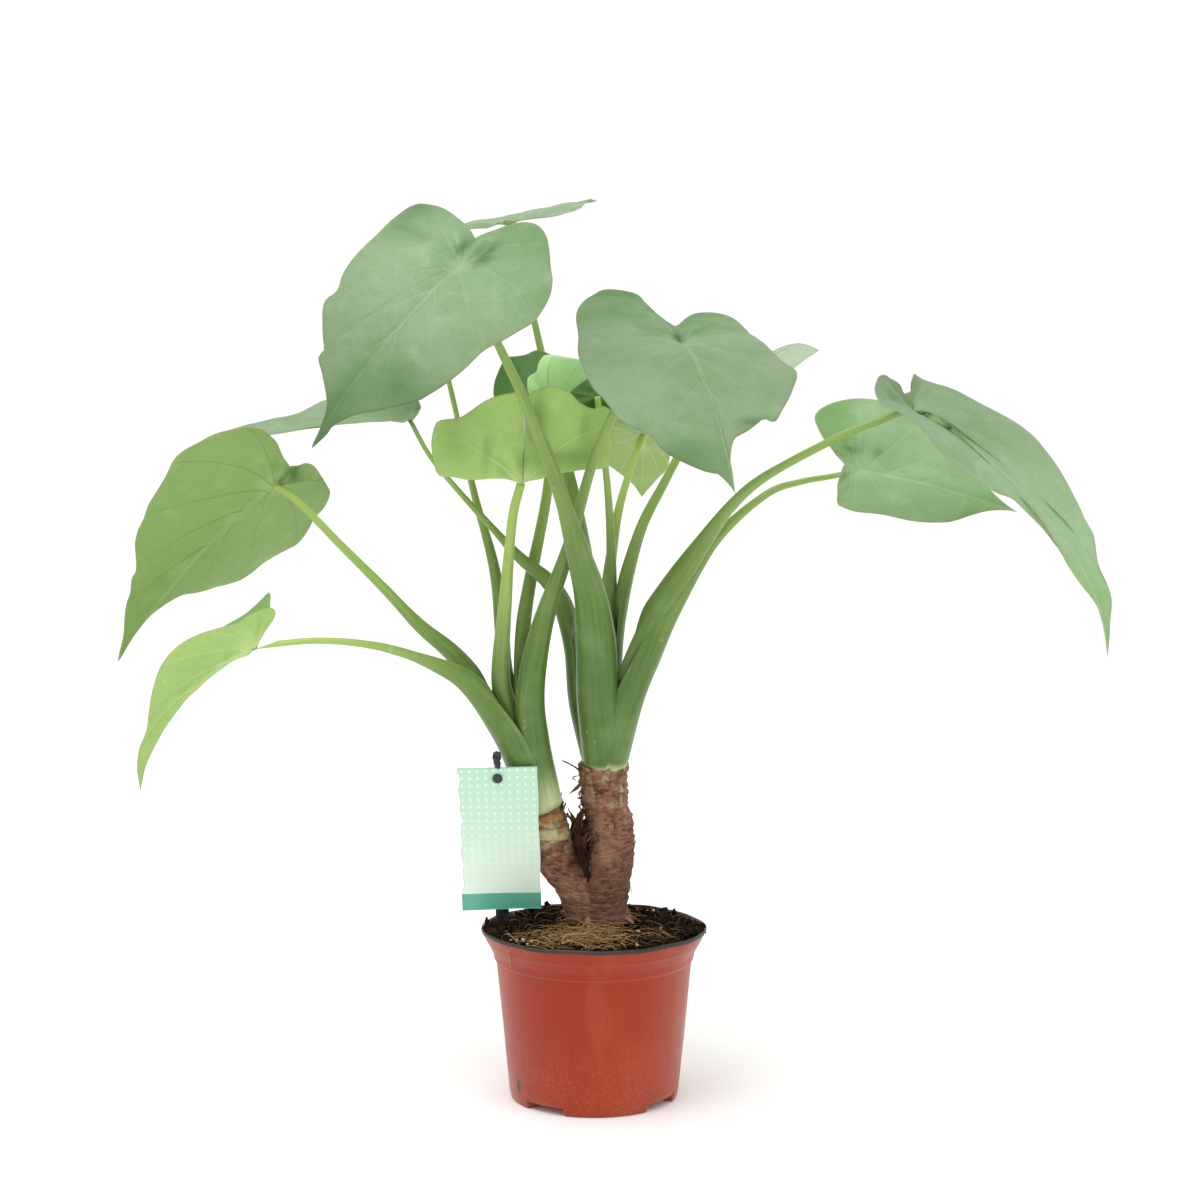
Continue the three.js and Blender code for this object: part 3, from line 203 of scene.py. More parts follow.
# The leaves, as in the construction: seat and tip of the blade, the way that its upper side faces, its
# outline and its bends in degrees, and the stalk's route, radii, lean (out) and sheath. fresh is how
# yellow-green a leaf is, and below 0 how grey. tones is its brightness at the seat and at the tip, painted
# light and shade for how the light falls on it, and under the freshness and painted brightness of its lower
# side. spots are painted shade, dark places in its creases, hollows and shaded parts: across, ahead, half
# width, half length and amount. crumple scales its unevenness, and pale shortens the stalk's pale foot.
LEAVES = [
    dict(seat=(-71, -85, 485), tip=(-148, -143, 392), face=(-0.2, -0.8, 0.55), wide=0.82, droop=30,
         hood=(10, 15), cup=(-20, -10), outline=OUTLINES[1], fresh=0.1, tones=(1, 0.72),
         spots=[(-0.19, 0.62, 0.13, 0.1, 0.55), (-0.055, -0.1, 0.03, 0.09, 0.75),
                (0.05, -0.09, 0.02, 0.07, 0.65), (0, 0.95, 0.1, 0.2, 0.6), (0.34, -0.15, 0.06, 0.16, 0.5),
                (0.25, -0.03, 0.1, 0.025, 0.35), (0.02, 0.62, 0.05, 0.16, 0.3)],
         route=[(5, 9, 194.5), (2.5, -3, 232), (1, -10, 269), (-2, -17, 295), (-8, -24, 318), (-21, -32, 362),
                (-38, -50, 408), (-52, -63, 440), (-71, -84, 484)],
         radii=(11.5, 12.3, 11.4, 8, 4.5, 3.6, 2.8, 2.1, 1.8), out=(-0.2, -1), sheath=0.44, pale=2.2),
    dict(seat=(-51, 98, 502), tip=(2, 188, 511), face=(-0.2, 0, 1), wide=0.9, droop=6, hood=(4, 4),
         lobe=0.9, cup=(2, -3), vee=0, fresh=0.15,
         route=[(5, 18, 195), (1, 34, 250), (-4, 54, 298), (-12, 74, 340), (-21, 89, 376), (-32, 98, 428),
                (-44, 98, 478), (-51, 98, 501.5)],
         radii=(7, 6, 5, 4, 2.5, 1.9, 1.8), out=(-0.2, 1), sheath=0.34),
    dict(seat=(-108, 60, 390), tip=(-223, 80, 377), face=(-0.1, -0.2, 1), wide=0.85, droop=4,
         hood=(70, 20), lobe=0.6, cup=(5, 5), outline=OUTLINES[3], fresh=0.05,
         route=[(3, 15, 194.5), (-6, 20, 228), (-10, 25, 257), (-17, 27, 281), (-26, 30, 296), (-43, 34, 310),
                (-60, 38, 328), (-76, 42, 345), (-95, 50, 367), (-108, 59.5, 389)],
         radii=(10, 9, 7.5, 6, 4, 2.2, 1.7, 1.4, 1.3), out=(-1, 0.5), sheath=0.4),
    dict(seat=(-184, 20, 355), tip=(-273, 10, 253), face=(-0.6, 0.7, 0.5), wide=0.9, droop=25,
         hood=(15, 50), lobe=0.6, cup=(5, 12), outline=OUTLINES[4], fresh=0.45,
         spots=[(0.055, -0.09, 0.06, 0.035, 0.9), (0.01, -0.03, 0.025, 0.03, 0.8)],
         route=[(-33, 13, 171), (-48, 9, 208), (-66, 7, 239), (-81, 8, 258), (-100, 10, 274), (-121, 12, 296),
                (-145, 14, 320), (-168, 18, 343), (-184, 20, 354.5)],
         radii=(10, 9, 7, 5, 3.2, 2.5, 2.2, 2.1), out=(-1, 0.4), sheath=0.36),
    dict(seat=(-193, -20, 267), tip=(-255, -40, 188), face=(-0.75, 0.35, 0.6), wide=0.46, droop=56,
         hood=(5, 5), lobe=0.75, cup=(60, 60), vee=40, outline=OUTLINES[5], fresh=0.7, tones=(1.2, 1.15),
         route=[(-31, 10, 169.5), (-39, 0, 197), (-52, -7, 221), (-70, -11, 243), (-88, -12, 254),
                (-120, -13, 265), (-155, -15, 269), (-193, -20, 266.5)],
         radii=(12.2, 12, 9.5, 6, 2.9, 2.1, 1.8, 1.7), out=(-1, -0.5), sheath=0.4),
    dict(seat=(-25.5, 62, 400), tip=(37, 66, 427), face=(-0.3, 0.05, 1), wide=0.95, droop=10,
         hood=(8, 8), cup=(78, 92), vee=15, outline=OUTLINES[6], fresh=0.4, under=(-0.4, 2.5),
         spots=[(-0.4, 0, 0.28, 0.5, 0.5)],
         route=[(-32, 14, 172), (-40, 18, 225), (-41, 28, 266), (-37, 40, 295), (-28, 56, 340),
                (-25, 63, 372), (-25.5, 62, 399.5)],
         radii=(7, 6, 5, 4, 3.2, 2.8, 2.6), out=(-0.4, 0.6), sheath=0.42),
    dict(seat=(-41, -10, 361), tip=(-58, 92, 363), face=(0, -0.05, 1), wide=1.2, droop=25,
         hood=(85, 85), lobe=1.7, turn=0.15, cup=(5, 5), vee=2, outline=OUTLINES[7], crumple=2.2, fresh=0.9,
         tones=(1.22, 1.22), spots=[(0.06, -0.38, 0.05, 0.14, 0.65), (-0.38, -0.3, 0.14, 0.2, 0.35),
                                      (-0.2, -0.2, 0.03, 0.12, 0.3), (0.25, -0.16, 0.2, 0.05, 0.35),
                                      (0.33, -0.36, 0.03, 0.1, 0.3)],
         route=[(-34, 8, 172), (-46, 1, 218), (-53, -4, 245), (-50, -9, 292), (-46, -9, 337),
                (-41, -6.5, 357.7)],
         radii=(8, 7, 5.5, 4, 2.9, 2.5), out=(-0.6, -0.8), sheath=0.34),
    dict(seat=(48, -60, 443), tip=(73, -165, 370), face=(0.12, -0.5, 0.8), wide=0.92, droop=40,
         hood=(10, 10), cup=(-10, -10), outline=OUTLINES[8], fresh=0.0, tones=(0.87, 0.88), pale=0.22,
         spots=[(0.003, -0.04, 0.03, 0.04, 0.9), (0.33, 0.05, 0.14, 0.3, 0.16),
                (-0.13, 0.66, 0.05, 0.02, 0.7), (0.2, 0.82, 0.16, 0.07, 0.35),
                (0.22, -0.45, 0.2, 0.05, 0.4), (-0.2, -0.25, 0.14, 0.04, 0.35)],
         route=[(-28, 8, 170.5), (-35, -4, 211), (-36, -8, 241), (-29, -9, 278), (-14, -10, 322),
                (0, -18, 372), (17, -36, 411), (34, -51, 432), (48, -60, 442.5)],
         radii=(10, 9.4, 7.6, 4.8, 3.2, 2.6, 2.3, 2.1), out=(0.5, -1), sheath=0.42),
    dict(seat=(-90, 62, 434), tip=(-128, 150, 418), face=(0, -0.1, 1), wide=0.85, droop=25,
         hood=(20, 20), cup=(15, 15), fresh=0.3,
         route=[(-35, 16, 172), (-50, 24, 240), (-57, 42, 298), (-70, 58, 345), (-82, 62, 399),
                (-90, 62, 433.5)],
         radii=(6, 5, 4, 2.4, 1.6, 1.4), out=(-0.8, 0.6), sheath=0.35),
    dict(seat=(67, 30, 401), tip=(133, 110, 425), face=(0.1, 0.9, 0.5), wide=0.9, droop=20,
         hood=(20, 20), lobe=0.8, cup=(10, 35), outline=OUTLINES[10], fresh=0.1, under=(-0.9, 1.3),
         route=[(9, 16, 195), (10, 16, 240), (14, 16, 280), (26, 17, 326), (40, 22, 354), (55, 27, 381),
                (67, 29, 399)],
         radii=(7, 6, 5, 3.3, 2.4, 2), out=(1, 0.5), sheath=0.5),
    dict(seat=(29.5, 55, 382), tip=(29.5, 155, 330.5), face=(0, 0.4, 0.9), wide=0.8, droop=35,
         hood=(30, 30), cup=(10, 10), lobe=0.6, outline=OUTLINES[11], fresh=0.85,
         route=[(7, 12, 195), (6, 14, 240), (8, 20, 292), (13, 31, 331), (20.5, 43, 358), (29.5, 55, 381.5)],
         radii=(8, 7, 5, 3.2, 2.2, 1.9), out=(0.3, -0.6), sheath=0.4),
    dict(seat=(178, -40, 405), tip=(280, -90, 272), face=(0.65, -0.5, 0.6), wide=0.55, droop=42,
         hood=(45, 45), lobe=0.38, cup=(15, 8), sway=-0.06, outline=OUTLINES[12], fresh=0.1,
         tones=(0.88, 1.4), spots=[(-0.005, -0.03, 0.02, 0.03, 0.6)],
         route=[(8, 11, 194.5), (16, 3, 238), (27, -3, 268), (42, -8, 295), (62, -12, 325), (78, -18, 347),
                (97, -24, 364), (137, -34, 387), (158, -38, 396), (178, -40, 404.5)],
         radii=(9.5, 9, 8.5, 6.4, 3.4, 2.4, 2.2, 2.1), out=(1, -0.4), sheath=0.34, pale=2.2),
    dict(seat=(152, 20, 363), tip=(240, 0, 340), face=(0, -0.7, 0.7), wide=0.95, droop=15, hood=(15, 110),
         lobes=(1.1, 0.3), sides=(1.1, 1), cup=(12, 32), full=(0, 0.3), fresh=0.25, tones=(1.15, 1.3),
         spots=[(-0.14, 0.07, 0.035, 0.035, 0.45), (-0.12, -0.1, 0.025, 0.07, 0.6)],
         route=[(7, 10, 194.5), (18, -1, 233), (29, -5, 258), (44, -6, 287), (70, -2, 326), (98, 4, 350),
                (118, 14, 356), (138, 23, 358.5), (152, 20.5, 362.5)],
         radii=(12.5, 11, 9, 6, 3.4, 2.3, 1.8, 1.5), out=(1, -0.6), sheath=0.4, pale=2.2),
    dict(seat=(2, 22, 404), tip=(-26, 24, 389), face=(0, 1, -0.2), wide=0.8, droop=8, hood=(5, 5),
         cup=(15, 15), vee=10, lobe=0.4, fresh=0.6, spots=[(0, 0.5, 2, 2, 0.93)],
         route=[(7, 17, 196), (10, 19, 263), (10, 20.5, 310), (8, 20, 350), (2, 18.5, 404.5)],
         radii=(5, 4, 3, 2, 1.7), out=(0, 1), sheath=0.3),
]

# Trunk: centre x, y, height and radius of each stem, from under the mix to its crown.
RIGHT_STEM = [
    (1, 12, 84, 15), (2, 12, 96, 19), (2, 12, 104, 18.5), (4, 12, 112, 15.5), (7.5, 12, 124, 13.4),
    (10, 12, 134, 12.8), (10.4, 12, 145, 13.2), (9.2, 12, 157, 13.2), (6.6, 12, 171, 13),
    (5.4, 12, 184, 14.2), (5.4, 12, 193, 14.6),
]
LEFT_STEM = [
    (0, 12, 86, 12), (0, 12, 98, 16), (-3, 12, 108, 15), (-10, 12, 119, 12.5), (-18, 12, 130, 13.4),
    (-24, 12, 142, 13.9), (-28, 12, 155, 13.7), (-31, 12, 167, 12.6),
]

# The web of torn scales in the fork between the stems, in the same terms.
WEB = [
    (-3, 12, 112, 9), (-5, 12, 124, 8.6), (-6.5, 13, 134, 8), (-7.6, 14, 142, 7), (-8.2, 15, 150, 5.6),
    (-8.8, 15, 157, 3.4), (-9, 15, 160, 1.6),
]

# Bark: points round a stem, the height of one row, the pitch of the leaf scars, the heights of the crowns
# that its colours start from, and the rows and points of one dry scale. The web has no crown of its own.
STEM_SIDES = 150
STEM_STEP = 0.55
SCAR_PITCH = 4.6
RIGHT_CROWN = 193
LEFT_CROWN = 167
NO_CROWN = 260
FLAKE_ROWS = 7
FLAKE_POINTS = 6

# Pot.
RIM_R = 65
RIM_Z = 98
DARK_LIP = 1.7
LIP_RISE = 3.6
WALL = 1.2
FOOT_R = 48.2
TOE_R = 49.2
TOE_Z = 5
BODY_TOP_R = 56.4
BAND_Z = 81
BAND_STEP = 1.1
BAND_SPREAD = 0.7
FLARE_Z = 86
LIP_FOOT_R = 61
LIP_FOOT_Z = 92
FLOOR = 1.5
FLOOR_R = 37
STEP_H = 4
STEP_RUN = 1.5
DRAIN_STEPS = 4
DRAIN_FIRST = 54
DRAIN_HALF = 15
POT_SIDES = 300
STAIN_AT = (-43.5, -25, 11.5)
STAIN_SQUASH = 0.55

# Growing mix.
MIX_EDGE_Z = 96.6
MIX_HEAP_Z = 101
MIX_FRONT_RISE = 1.8
HEAP_REACH = 34
HEAP_AT = (1, 10)
MIX_EDGE_R = 60

# How many small things there are: clumps on the mix and at the rim, those at the left of the rim, coir
# fibres and those in front, grains and those at the left, root stubs and those in front, torn fibres and
# those between the stems, flakes in the fork and those on the web, and scales round the left crown.
CLUMPS = 1700
RIM_CLUMPS, LEFT_RIM_CLUMPS = 330, 220
COIR, FRONT_COIR = 460, 280
GRAINS, LEFT_GRAINS = 26, 14
STUBS, FRONT_STUBS = 26, 14
TORN, TORN_BETWEEN = 46, 16
FORK_FLAKES, WEB_FLAKES = 50, 20
CROWN_SCALES = 20

# Label: where its stake enters the mix, its lean and its card. Heights run along the stake.
LABEL_FOOT = (-52.9, 10, 96)
LABEL_LEAN = 14
LABEL_ROLL = -1.2
CARD_W = 45.7
CARD_H = 90.5
CARD_THICK = 0.7
CARD_LOW = 12.5
CARD_BAND = 10.5
BUTTON_UP = 96.5
PEG_CLEAR = 1.8
KNOB_UP = 3.2
DOTS_PER_MM = 0.22

# Studio: the world's strength, the half side of the floor in metres, the point that the lights aim at,
# and each light's place and width in metres and its power in watts.
WORLD_STRENGTH = 1.07
STUDIO_REACH = 6.0
LIGHT_AIM = (0, 0, 0.3)
LIGHTS = {
    "key": ((-0.5, -0.55, 2.3), 1.6, 26),
    "fill": ((1.9, -1.2, 0.9), 1.8, 5),
}


def rad(degrees):
    return np.radians(degrees)


def mix(a, b, t):
    return a + (b - a) * t


def smooth(x):
    x = np.clip(x, 0, 1)
    return x * x * (3 - 2 * x)


def bump(x, width):
    return np.exp(-((x / width) ** 2))


def unit(v):
    return v / np.maximum(np.linalg.norm(v, axis=-1, keepdims=True), 1e-9)


def spaced(points, count):
    """Points evenly spaced by length on a smooth curve through the given ones."""
    points = np.asarray(points, float)
    ends = np.vstack([2 * points[0] - points[1], points, 2 * points[-1] - points[-2]])
    t = np.arange(24)[:, None] / 24
    fine = []
    for i in range(1, len(ends) - 2):
        a, b, c, d = ends[i - 1:i + 3]
        fine.append(0.5 * (2 * b + (c - a) * t + (2 * a - 5 * b + 4 * c - d) * t ** 2
                           + (3 * b - 3 * c + d - a) * t ** 3))
    fine = np.vstack([*fine, points[-1:]])
    reach = np.concatenate([[0], np.cumsum(np.linalg.norm(np.diff(fine, axis=0), axis=1))])
    want = np.linspace(0, reach[-1], count + 1)
    return np.stack([np.interp(want, reach, fine[:, k]) for k in range(fine.shape[1])], axis=1)


def along(values, t):
    """Values spread evenly from 0 to 1, read at t."""
    return np.interp(t, np.linspace(0, 1, len(values)), values)


def ripple(points, scale, seed):
    """A soft unevenness from -1 to 1 in space, made of a few sine waves."""
    draw = np.random.default_rng(seed)
    total = np.zeros(len(points))
    for _ in range(6):
        way = unit(draw.normal(size=3)) * draw.uniform(0.6, 1.7) * 2 * np.pi / scale
        total += np.sin(points @ way + draw.uniform(0, 2 * np.pi))
    return total / 6 * 1.6


def ring_faces(rows, count, start=0, closed=True):
    """Quads between rows of points, each row with count points."""
    k = np.arange(count if closed else count - 1)
    nxt = (k + 1) % count
    base = start + np.arange(rows - 1)[:, None] * count
    quads = np.stack([base + k, base + nxt, base + nxt + count, base + k + count], axis=-1)
    return quads.reshape(-1, 4)


def fan_faces(centre, first, count, other_way=False):
    """Triangles between one point and a ring of count points that starts at first."""
    k = np.arange(count)
    nxt = (k + 1) % count
    a, b = (nxt, k) if other_way else (k, nxt)
    return np.stack([np.full(count, centre), first + a, first + b], axis=1)


def add_piece(name, points, faces, materials, replaced=(), face_material=None, values=None):
    """A mesh piece of the plant from points in millimetres, with named values at its points."""
    mesh = bpy.data.meshes.new(name)
    face_lists = [face for block in faces for face in np.asarray(block).tolist()]
    mesh.from_pydata((np.asarray(points) * MM).tolist(), [], face_lists)
    for key, data in (values or {}).items():
        data = np.asarray(data, float)
        kind = "FLOAT_VECTOR" if data.ndim == 2 else "FLOAT"
        attribute = mesh.attributes.new(key, kind, "POINT")
        attribute.data.foreach_set("vector" if data.ndim == 2 else "value", data.ravel())
    for material in materials:
        mesh.materials.append(material)
    if face_material is not None:
        mesh.polygons.foreach_set("material_index", np.asarray(face_material, np.int32))
    mesh.polygons.foreach_set("use_smooth", [True] * len(mesh.polygons))
    mesh.update()
    piece = bpy.data.objects.new(name, mesh)
    bpy.context.scene.collection.objects.link(piece)
    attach(piece, "root")
    if replaced:
        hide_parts(*replaced)
    return piece


class Tree:
    """A material's node tree, with short calls for the nodes that the looks use."""

    def __init__(self, name):
        self.material = bpy.data.materials.new(name)
        self.material.use_nodes = True
        self.nodes = self.material.node_tree.nodes
        self.links = self.material.node_tree.links
        self.nodes.clear()
        self.out = self.nodes.new("ShaderNodeOutputMaterial")

    def set(self, socket, value):
        if isinstance(value, bpy.types.NodeSocket):
            self.links.new(value, socket)
        elif socket.type == "RGBA" and len(value) == 3:
            socket.default_value = (*value, 1)
        else:
            socket.default_value = value

    def add(self, kind, settings=None, **inputs):
        node = self.nodes.new(kind)
        for key, value in (settings or {}).items():
            setattr(node, key, value)
        for key, value in inputs.items():
            self.set(node.inputs[key.replace("_", " ")], value)
        return node

    def math(self, operation, a, b=0.0):
        node = self.add("ShaderNodeMath", {"operation": operation})
        self.set(node.inputs[0], a)
        self.set(node.inputs[1], b)
        return node.outputs[0]

    def away(self, vector, place):
        """The distance of a vector from a fixed place."""
        node = self.add("ShaderNodeVectorMath", {"operation": "DISTANCE"})
        self.set(node.inputs[0], vector)
        node.inputs[1].default_value = place
        return node.outputs["Value"]

    def value(self, name):
        return self.add("ShaderNodeAttribute", {"attribute_name": name}).outputs["Fac"]

    def vector(self, name):
        return self.add("ShaderNodeAttribute", {"attribute_name": name}).outputs["Vector"]

    def parts(self, name):
        return self.add("ShaderNodeSeparateXYZ", Vector=self.vector(name)).outputs

    def span(self, value, low, high, start=0.0, end=1.0):
        node = self.add("ShaderNodeMapRange", {"interpolation_type": "SMOOTHSTEP"})
        for socket, number in zip(list(node.inputs)[:5], (value, low, high, start, end)):
            self.set(socket, number)
        return node.outputs[0]

    def blend(self, share, a, b, kind="MIX"):
        node = self.nodes.new("ShaderNodeMix")
        node.data_type = "RGBA"
        node.blend_type = kind
        self.set(node.inputs[0], share)
        self.set(node.inputs[6], a)
        self.set(node.inputs[7], b)
        return node.outputs[2]

    def place(self):
        return self.add("ShaderNodeTexCoord").outputs["Object"]

    def noise(self, scale, detail=4.0, roughness=0.55, vector=None, distortion=0.0):
        node = self.add("ShaderNodeTexNoise", Scale=scale, Detail=detail, Roughness=roughness,
                        Distortion=distortion, Vector=vector or self.place())
        return node.outputs[0]

    def cells(self, scale, feature="F1"):
        node = self.add("ShaderNodeTexVoronoi", {"feature": feature}, Scale=scale, Vector=self.place())
        return node.outputs[0]

    def stretch(self, vector, x, y, z):
        return self.add("ShaderNodeMapping", Vector=vector, Scale=(x, y, z)).outputs[0]

    def bump(self, height, distance, strength):
        node = self.add("ShaderNodeBump", Height=height, Distance=distance, Strength=strength)
        return node.outputs[0]

    def surface(self, color, roughness, normal=None, **plain):
        node = self.add("ShaderNodeBsdfPrincipled", Base_Color=color, Roughness=roughness)
        for key, value in plain.items():
            self.set(node.inputs[key.replace("_", " ")], value)
        if normal:
            self.set(node.inputs["Normal"], normal)
        return node.outputs[0]

    def done(self, shader):
        self.links.new(shader, self.out.inputs["Surface"])
        return self.material


def vein_share(tree):
    """1 on the veins and 0 between them: the side veins, then the midrib."""
    first = tree.parts("veins_a")
    second = tree.parts("veins_b")
    nearest = tree.math("ABSOLUTE", first[0])
    for part in (first[1], first[2], second[0], second[1]):
        nearest = tree.math("MINIMUM", nearest, tree.math("ABSOLUTE", part))
    side = tree.span(nearest, 0.35, 1.35, 1, 0)
    middle = tree.span(tree.math("ABSOLUTE", second[2]), 0.5, 1.3, 1, 0)
    return side, middle


def blade_look(name, dull, deep, bright, side_vein, fresh_vein, mid_vein, glow, upper):
    """One side of a blade: its dull, deep and fresh bright greens, its veins, painted shade towards the tip,
    on the hooded back lobes and in dark spots, the painted light and shade of each leaf's tones, and the
    light through it.
    """
    tree = Tree(name)
    side, middle = vein_share(tree)
    margin, ahead, reach = tree.parts("blade")
    painted_spot_shade, tone, fresh = tree.parts("light")
    cloud = tree.noise(26, 3, 0.6)
    fine = tree.noise(220, 4, 0.7)
    patch = tree.span(cloud, 0.38, 0.7)
    body = tree.blend(tree.math("MULTIPLY", patch, 0.4), dull, deep)
    # Painted shade: deep green towards the tip and on the hooded back lobes, where shade falls on the blade.
    tip = tree.span(tree.math("ADD", ahead, tree.math("MULTIPLY", cloud, 0.5)), 0.85, 1.25, 0, 0.55)
    body = tree.blend(tip, body, deep)
    painted_lobe_shade = tree.span(tree.math("SUBTRACT", ahead, tree.math("MULTIPLY", cloud, 0.25)), -0.14, -0.4, 0, 0.7)
    body = tree.blend(painted_lobe_shade, body, deep)
    body = tree.blend(tree.span(fresh, 0, 1, 0, 0.85), body, bright)
    body = tree.blend(tree.span(fresh, 0, -1), body, (0.46, 0.54, 0.43))
    body = tree.blend(tree.span(fine, 0.3, 0.75, 0, 0.14), body, deep)
    blotch = tree.span(tree.noise(60, 3, 0.6, None, 0.6), 0.52, 0.75, 0, 0.3)
    body = tree.blend(blotch, body, mid_vein)
    body = tree.blend(tree.span(reach, 2.0, 14.0, 0.45, 0.0), body, mid_vein)
    net = tree.span(tree.cells(330, "DISTANCE_TO_EDGE"), 0.0, 0.09, 1, 0)
    body = tree.blend(tree.math("MULTIPLY", net, 0.1), body, side_vein)
    vein = tree.blend(tree.span(fresh, 0.45, 0.85), side_vein, fresh_vein)
    body = tree.blend(tree.math("MULTIPLY", side, 0.26 if upper else 0.55), body, vein)
    body = tree.blend(tree.math("MULTIPLY", middle, 0.36), body, mid_vein)
    edge = tree.span(margin, 0.2, 0.8, 1, 0)
    body = tree.blend(tree.math("MULTIPLY", edge, 0.6), body, (0.4, 0.35, 0.2))
    # Painted light and shade: each leaf's tones brighten or darken it by how the light falls on it.
    body = tree.blend(1.0, body, tone, "MULTIPLY")
    # Painted shade: each leaf's dark spots darken its creases, hollows and shaded parts.
    body = tree.blend(painted_spot_shade, body, (0.035, 0.13, 0.012))
    height = tree.math("ADD", tree.math("MULTIPLY", net, -0.25), tree.math("MULTIPLY", fine, 0.5))
    height = tree.math("ADD", height, tree.math("MULTIPLY", side, -0.3 if upper else 0.5))
    normal = tree.bump(height, 0.0004, 0.7)
    rough = tree.span(fine, 0.2, 0.8, 0.42 if upper else 0.5, 0.55 if upper else 0.64)
    solid = tree.surface(body, rough, normal, Specular_IOR_Level=0.4, Sheen_Weight=0.15 if upper else 0.05,
                         Sheen_Roughness=0.5)
    lit = tree.blend(tree.span(fresh, -1, 0, 0.1, 0.55), body, glow)
    through = tree.add("ShaderNodeBsdfTranslucent", Color=lit).outputs[0]
    both = tree.add("ShaderNodeMixShader", Fac=0.26)
    tree.links.new(solid, both.inputs[1])
    tree.links.new(through, both.inputs[2])
    return tree.done(both.outputs[0])


def stalk_look():
    """Stalk skin: green that is pale at the foot, yellower upward on a fresh leaf, paler on the margins."""
    tree = Tree("stalk_skin")
    length, wing, up = tree.parts("stalk")
    fresh = tree.value("fresh")
    streak = tree.noise(1.0, 5, 0.6, tree.vector("grain"))
    cloud = tree.noise(40, 3, 0.5)
    # The lower part is darker: partly the sheath's own deeper green, partly painted shade under the crown.
    low = tree.blend(tree.span(streak, 0.35, 0.7), (0.06, 0.13, 0.015), (0.085, 0.17, 0.023))
    high = tree.blend(tree.span(streak, 0.35, 0.7), (0.2, 0.31, 0.065), (0.25, 0.37, 0.085))
    green = tree.blend(tree.span(length, 0.15, 0.8), low, high)
    green = tree.blend(tree.math("MULTIPLY", tree.span(cloud, 0.4, 0.7), 0.2), green, (0.28, 0.42, 0.15))
    yellow = tree.math("MULTIPLY", tree.span(length, 0.45, 1.0), tree.span(fresh, 0.0, 1.1))
    green = tree.blend(yellow, green, (0.42, 0.55, 0.12))
    far = tree.math("ADD", tree.math("MULTIPLY", fresh, 34.0), 8.0)
    pale = tree.span(tree.math("ADD", up, tree.math("MULTIPLY", streak, 4.0)), 2.0, far, 1, 0)
    green = tree.blend(tree.math("MULTIPLY", pale, 0.9), green, (0.54, 0.58, 0.3))
    green = tree.blend(tree.math("MULTIPLY", wing, 0.6), green, (0.42, 0.5, 0.24))
    scuff = tree.span(tree.noise(180, 2, 0.5), 0.7, 0.76, 0, 0.25)
    green = tree.blend(scuff, green, (0.5, 0.55, 0.4))
    normal = tree.bump(tree.math("ADD", streak, tree.math("MULTIPLY", cloud, 0.6)), 0.0004, 0.35)
    solid = tree.surface(green, tree.span(streak, 0.3, 0.7, 0.3, 0.42), normal, Specular_IOR_Level=0.4,
                         Subsurface_Weight=0.08, Subsurface_Radius=(0.002, 0.004, 0.001))
    return tree.done(solid)


def blade_grid(leaf):
    """The blade's flat outline on rings from the seat outward, with what is known at each point."""
    halves = []
    place = np.arange(HALF_POINTS + 1) / HALF_POINTS
    for side in (1, 0):
        sign = 2 * side - 1
        if "outline" in leaf:
            u, v = spaced(leaf["outline"][side], HALF_POINTS).T
            halves.append((sign * u, v, place, sign * np.ones(HALF_POINTS + 1)))
            continue
        lobe = leaf["lobes"][side] if "lobes" in leaf else leaf.get("lobe", 1)
        low = 0.345 * lobe
        points = [
            (0, 1), (0.02, 0.93), (0.058, 0.85), (0.135, 0.745), (0.26, 0.6), (0.37, 0.42), (0.445, 0.22),
            (0.475, 0.02), (0.46, -0.15 * lobe), (0.39, -0.28 * lobe), (0.27, -low),
        ]
        for u, share in ((0.16, 0.28), (0.085, 0.62), (0.035, 0.88), (0, 1)):
            points.append((u, -mix(low, 0.1, share)))
        u, v = spaced(points, HALF_POINTS).T
        ahead = np.clip(v, 0, 1)
        fullness = 1 + leaf.get("full", (0, 0))[side] * 4 * ahead * (1 - ahead)
        u = sign * u * leaf["wide"] * leaf.get("sides", (1, 1))[side] * fullness
        halves.append((u, v, place, sign * np.ones(HALF_POINTS + 1)))
    right, left = halves
    return [np.concatenate([a, b[1:-1][::-1]]) for a, b in zip(right, left)]


def bend(leaf, u, v):
    """A flat place on the blade (u across, v ahead) moved to the bent blade."""
    u = u + leaf.get("sway", 0) * np.sin(np.pi * np.clip(v, 0, 1) ** 2)
    right = 0.5 + 0.5 * np.clip(u / 0.06, -1, 1)
    vee = rad(leaf.get("vee", 6))
    droop = rad(leaf["droop"])
    hood = rad(mix(leaf["hood"][0], leaf["hood"][1], right))
    ahead = np.clip(v, 0, 1.2)
    turn = 0.345 * leaf.get("lobe", 1) * leaf.get("turn", 1)
    rate = hood / turn
    back = np.maximum(-v, 0)
    curved = np.minimum(back, turn)
    straight = back - curved
    behind = v < 0
    y = np.where(behind, -np.sin(rate * curved) / rate - straight * np.cos(hood),
                 np.sin(droop * ahead) / droop)
    z = np.where(behind, (1 - np.cos(rate * curved)) / rate + straight * np.sin(hood),
                 (np.cos(droop * ahead) - 1) / droop)
    angle = np.where(behind, rate * curved, droop * ahead)
    cup = rad(mix(leaf["cup"][0], leaf["cup"][1], right))
    rate = (cup - vee) / (0.475 * leaf["wide"])
    rate = np.where(np.abs(rate) < 1e-6, 1e-6, rate)
    q = np.abs(u)
    across = (np.sin(vee + rate * q) - np.sin(vee)) / rate
    rise = -(np.cos(vee + rate * q) - np.cos(vee)) / rate
    return np.stack([np.sign(u) * across, y + rise * np.sin(angle), z + rise * np.cos(angle)], axis=-1)


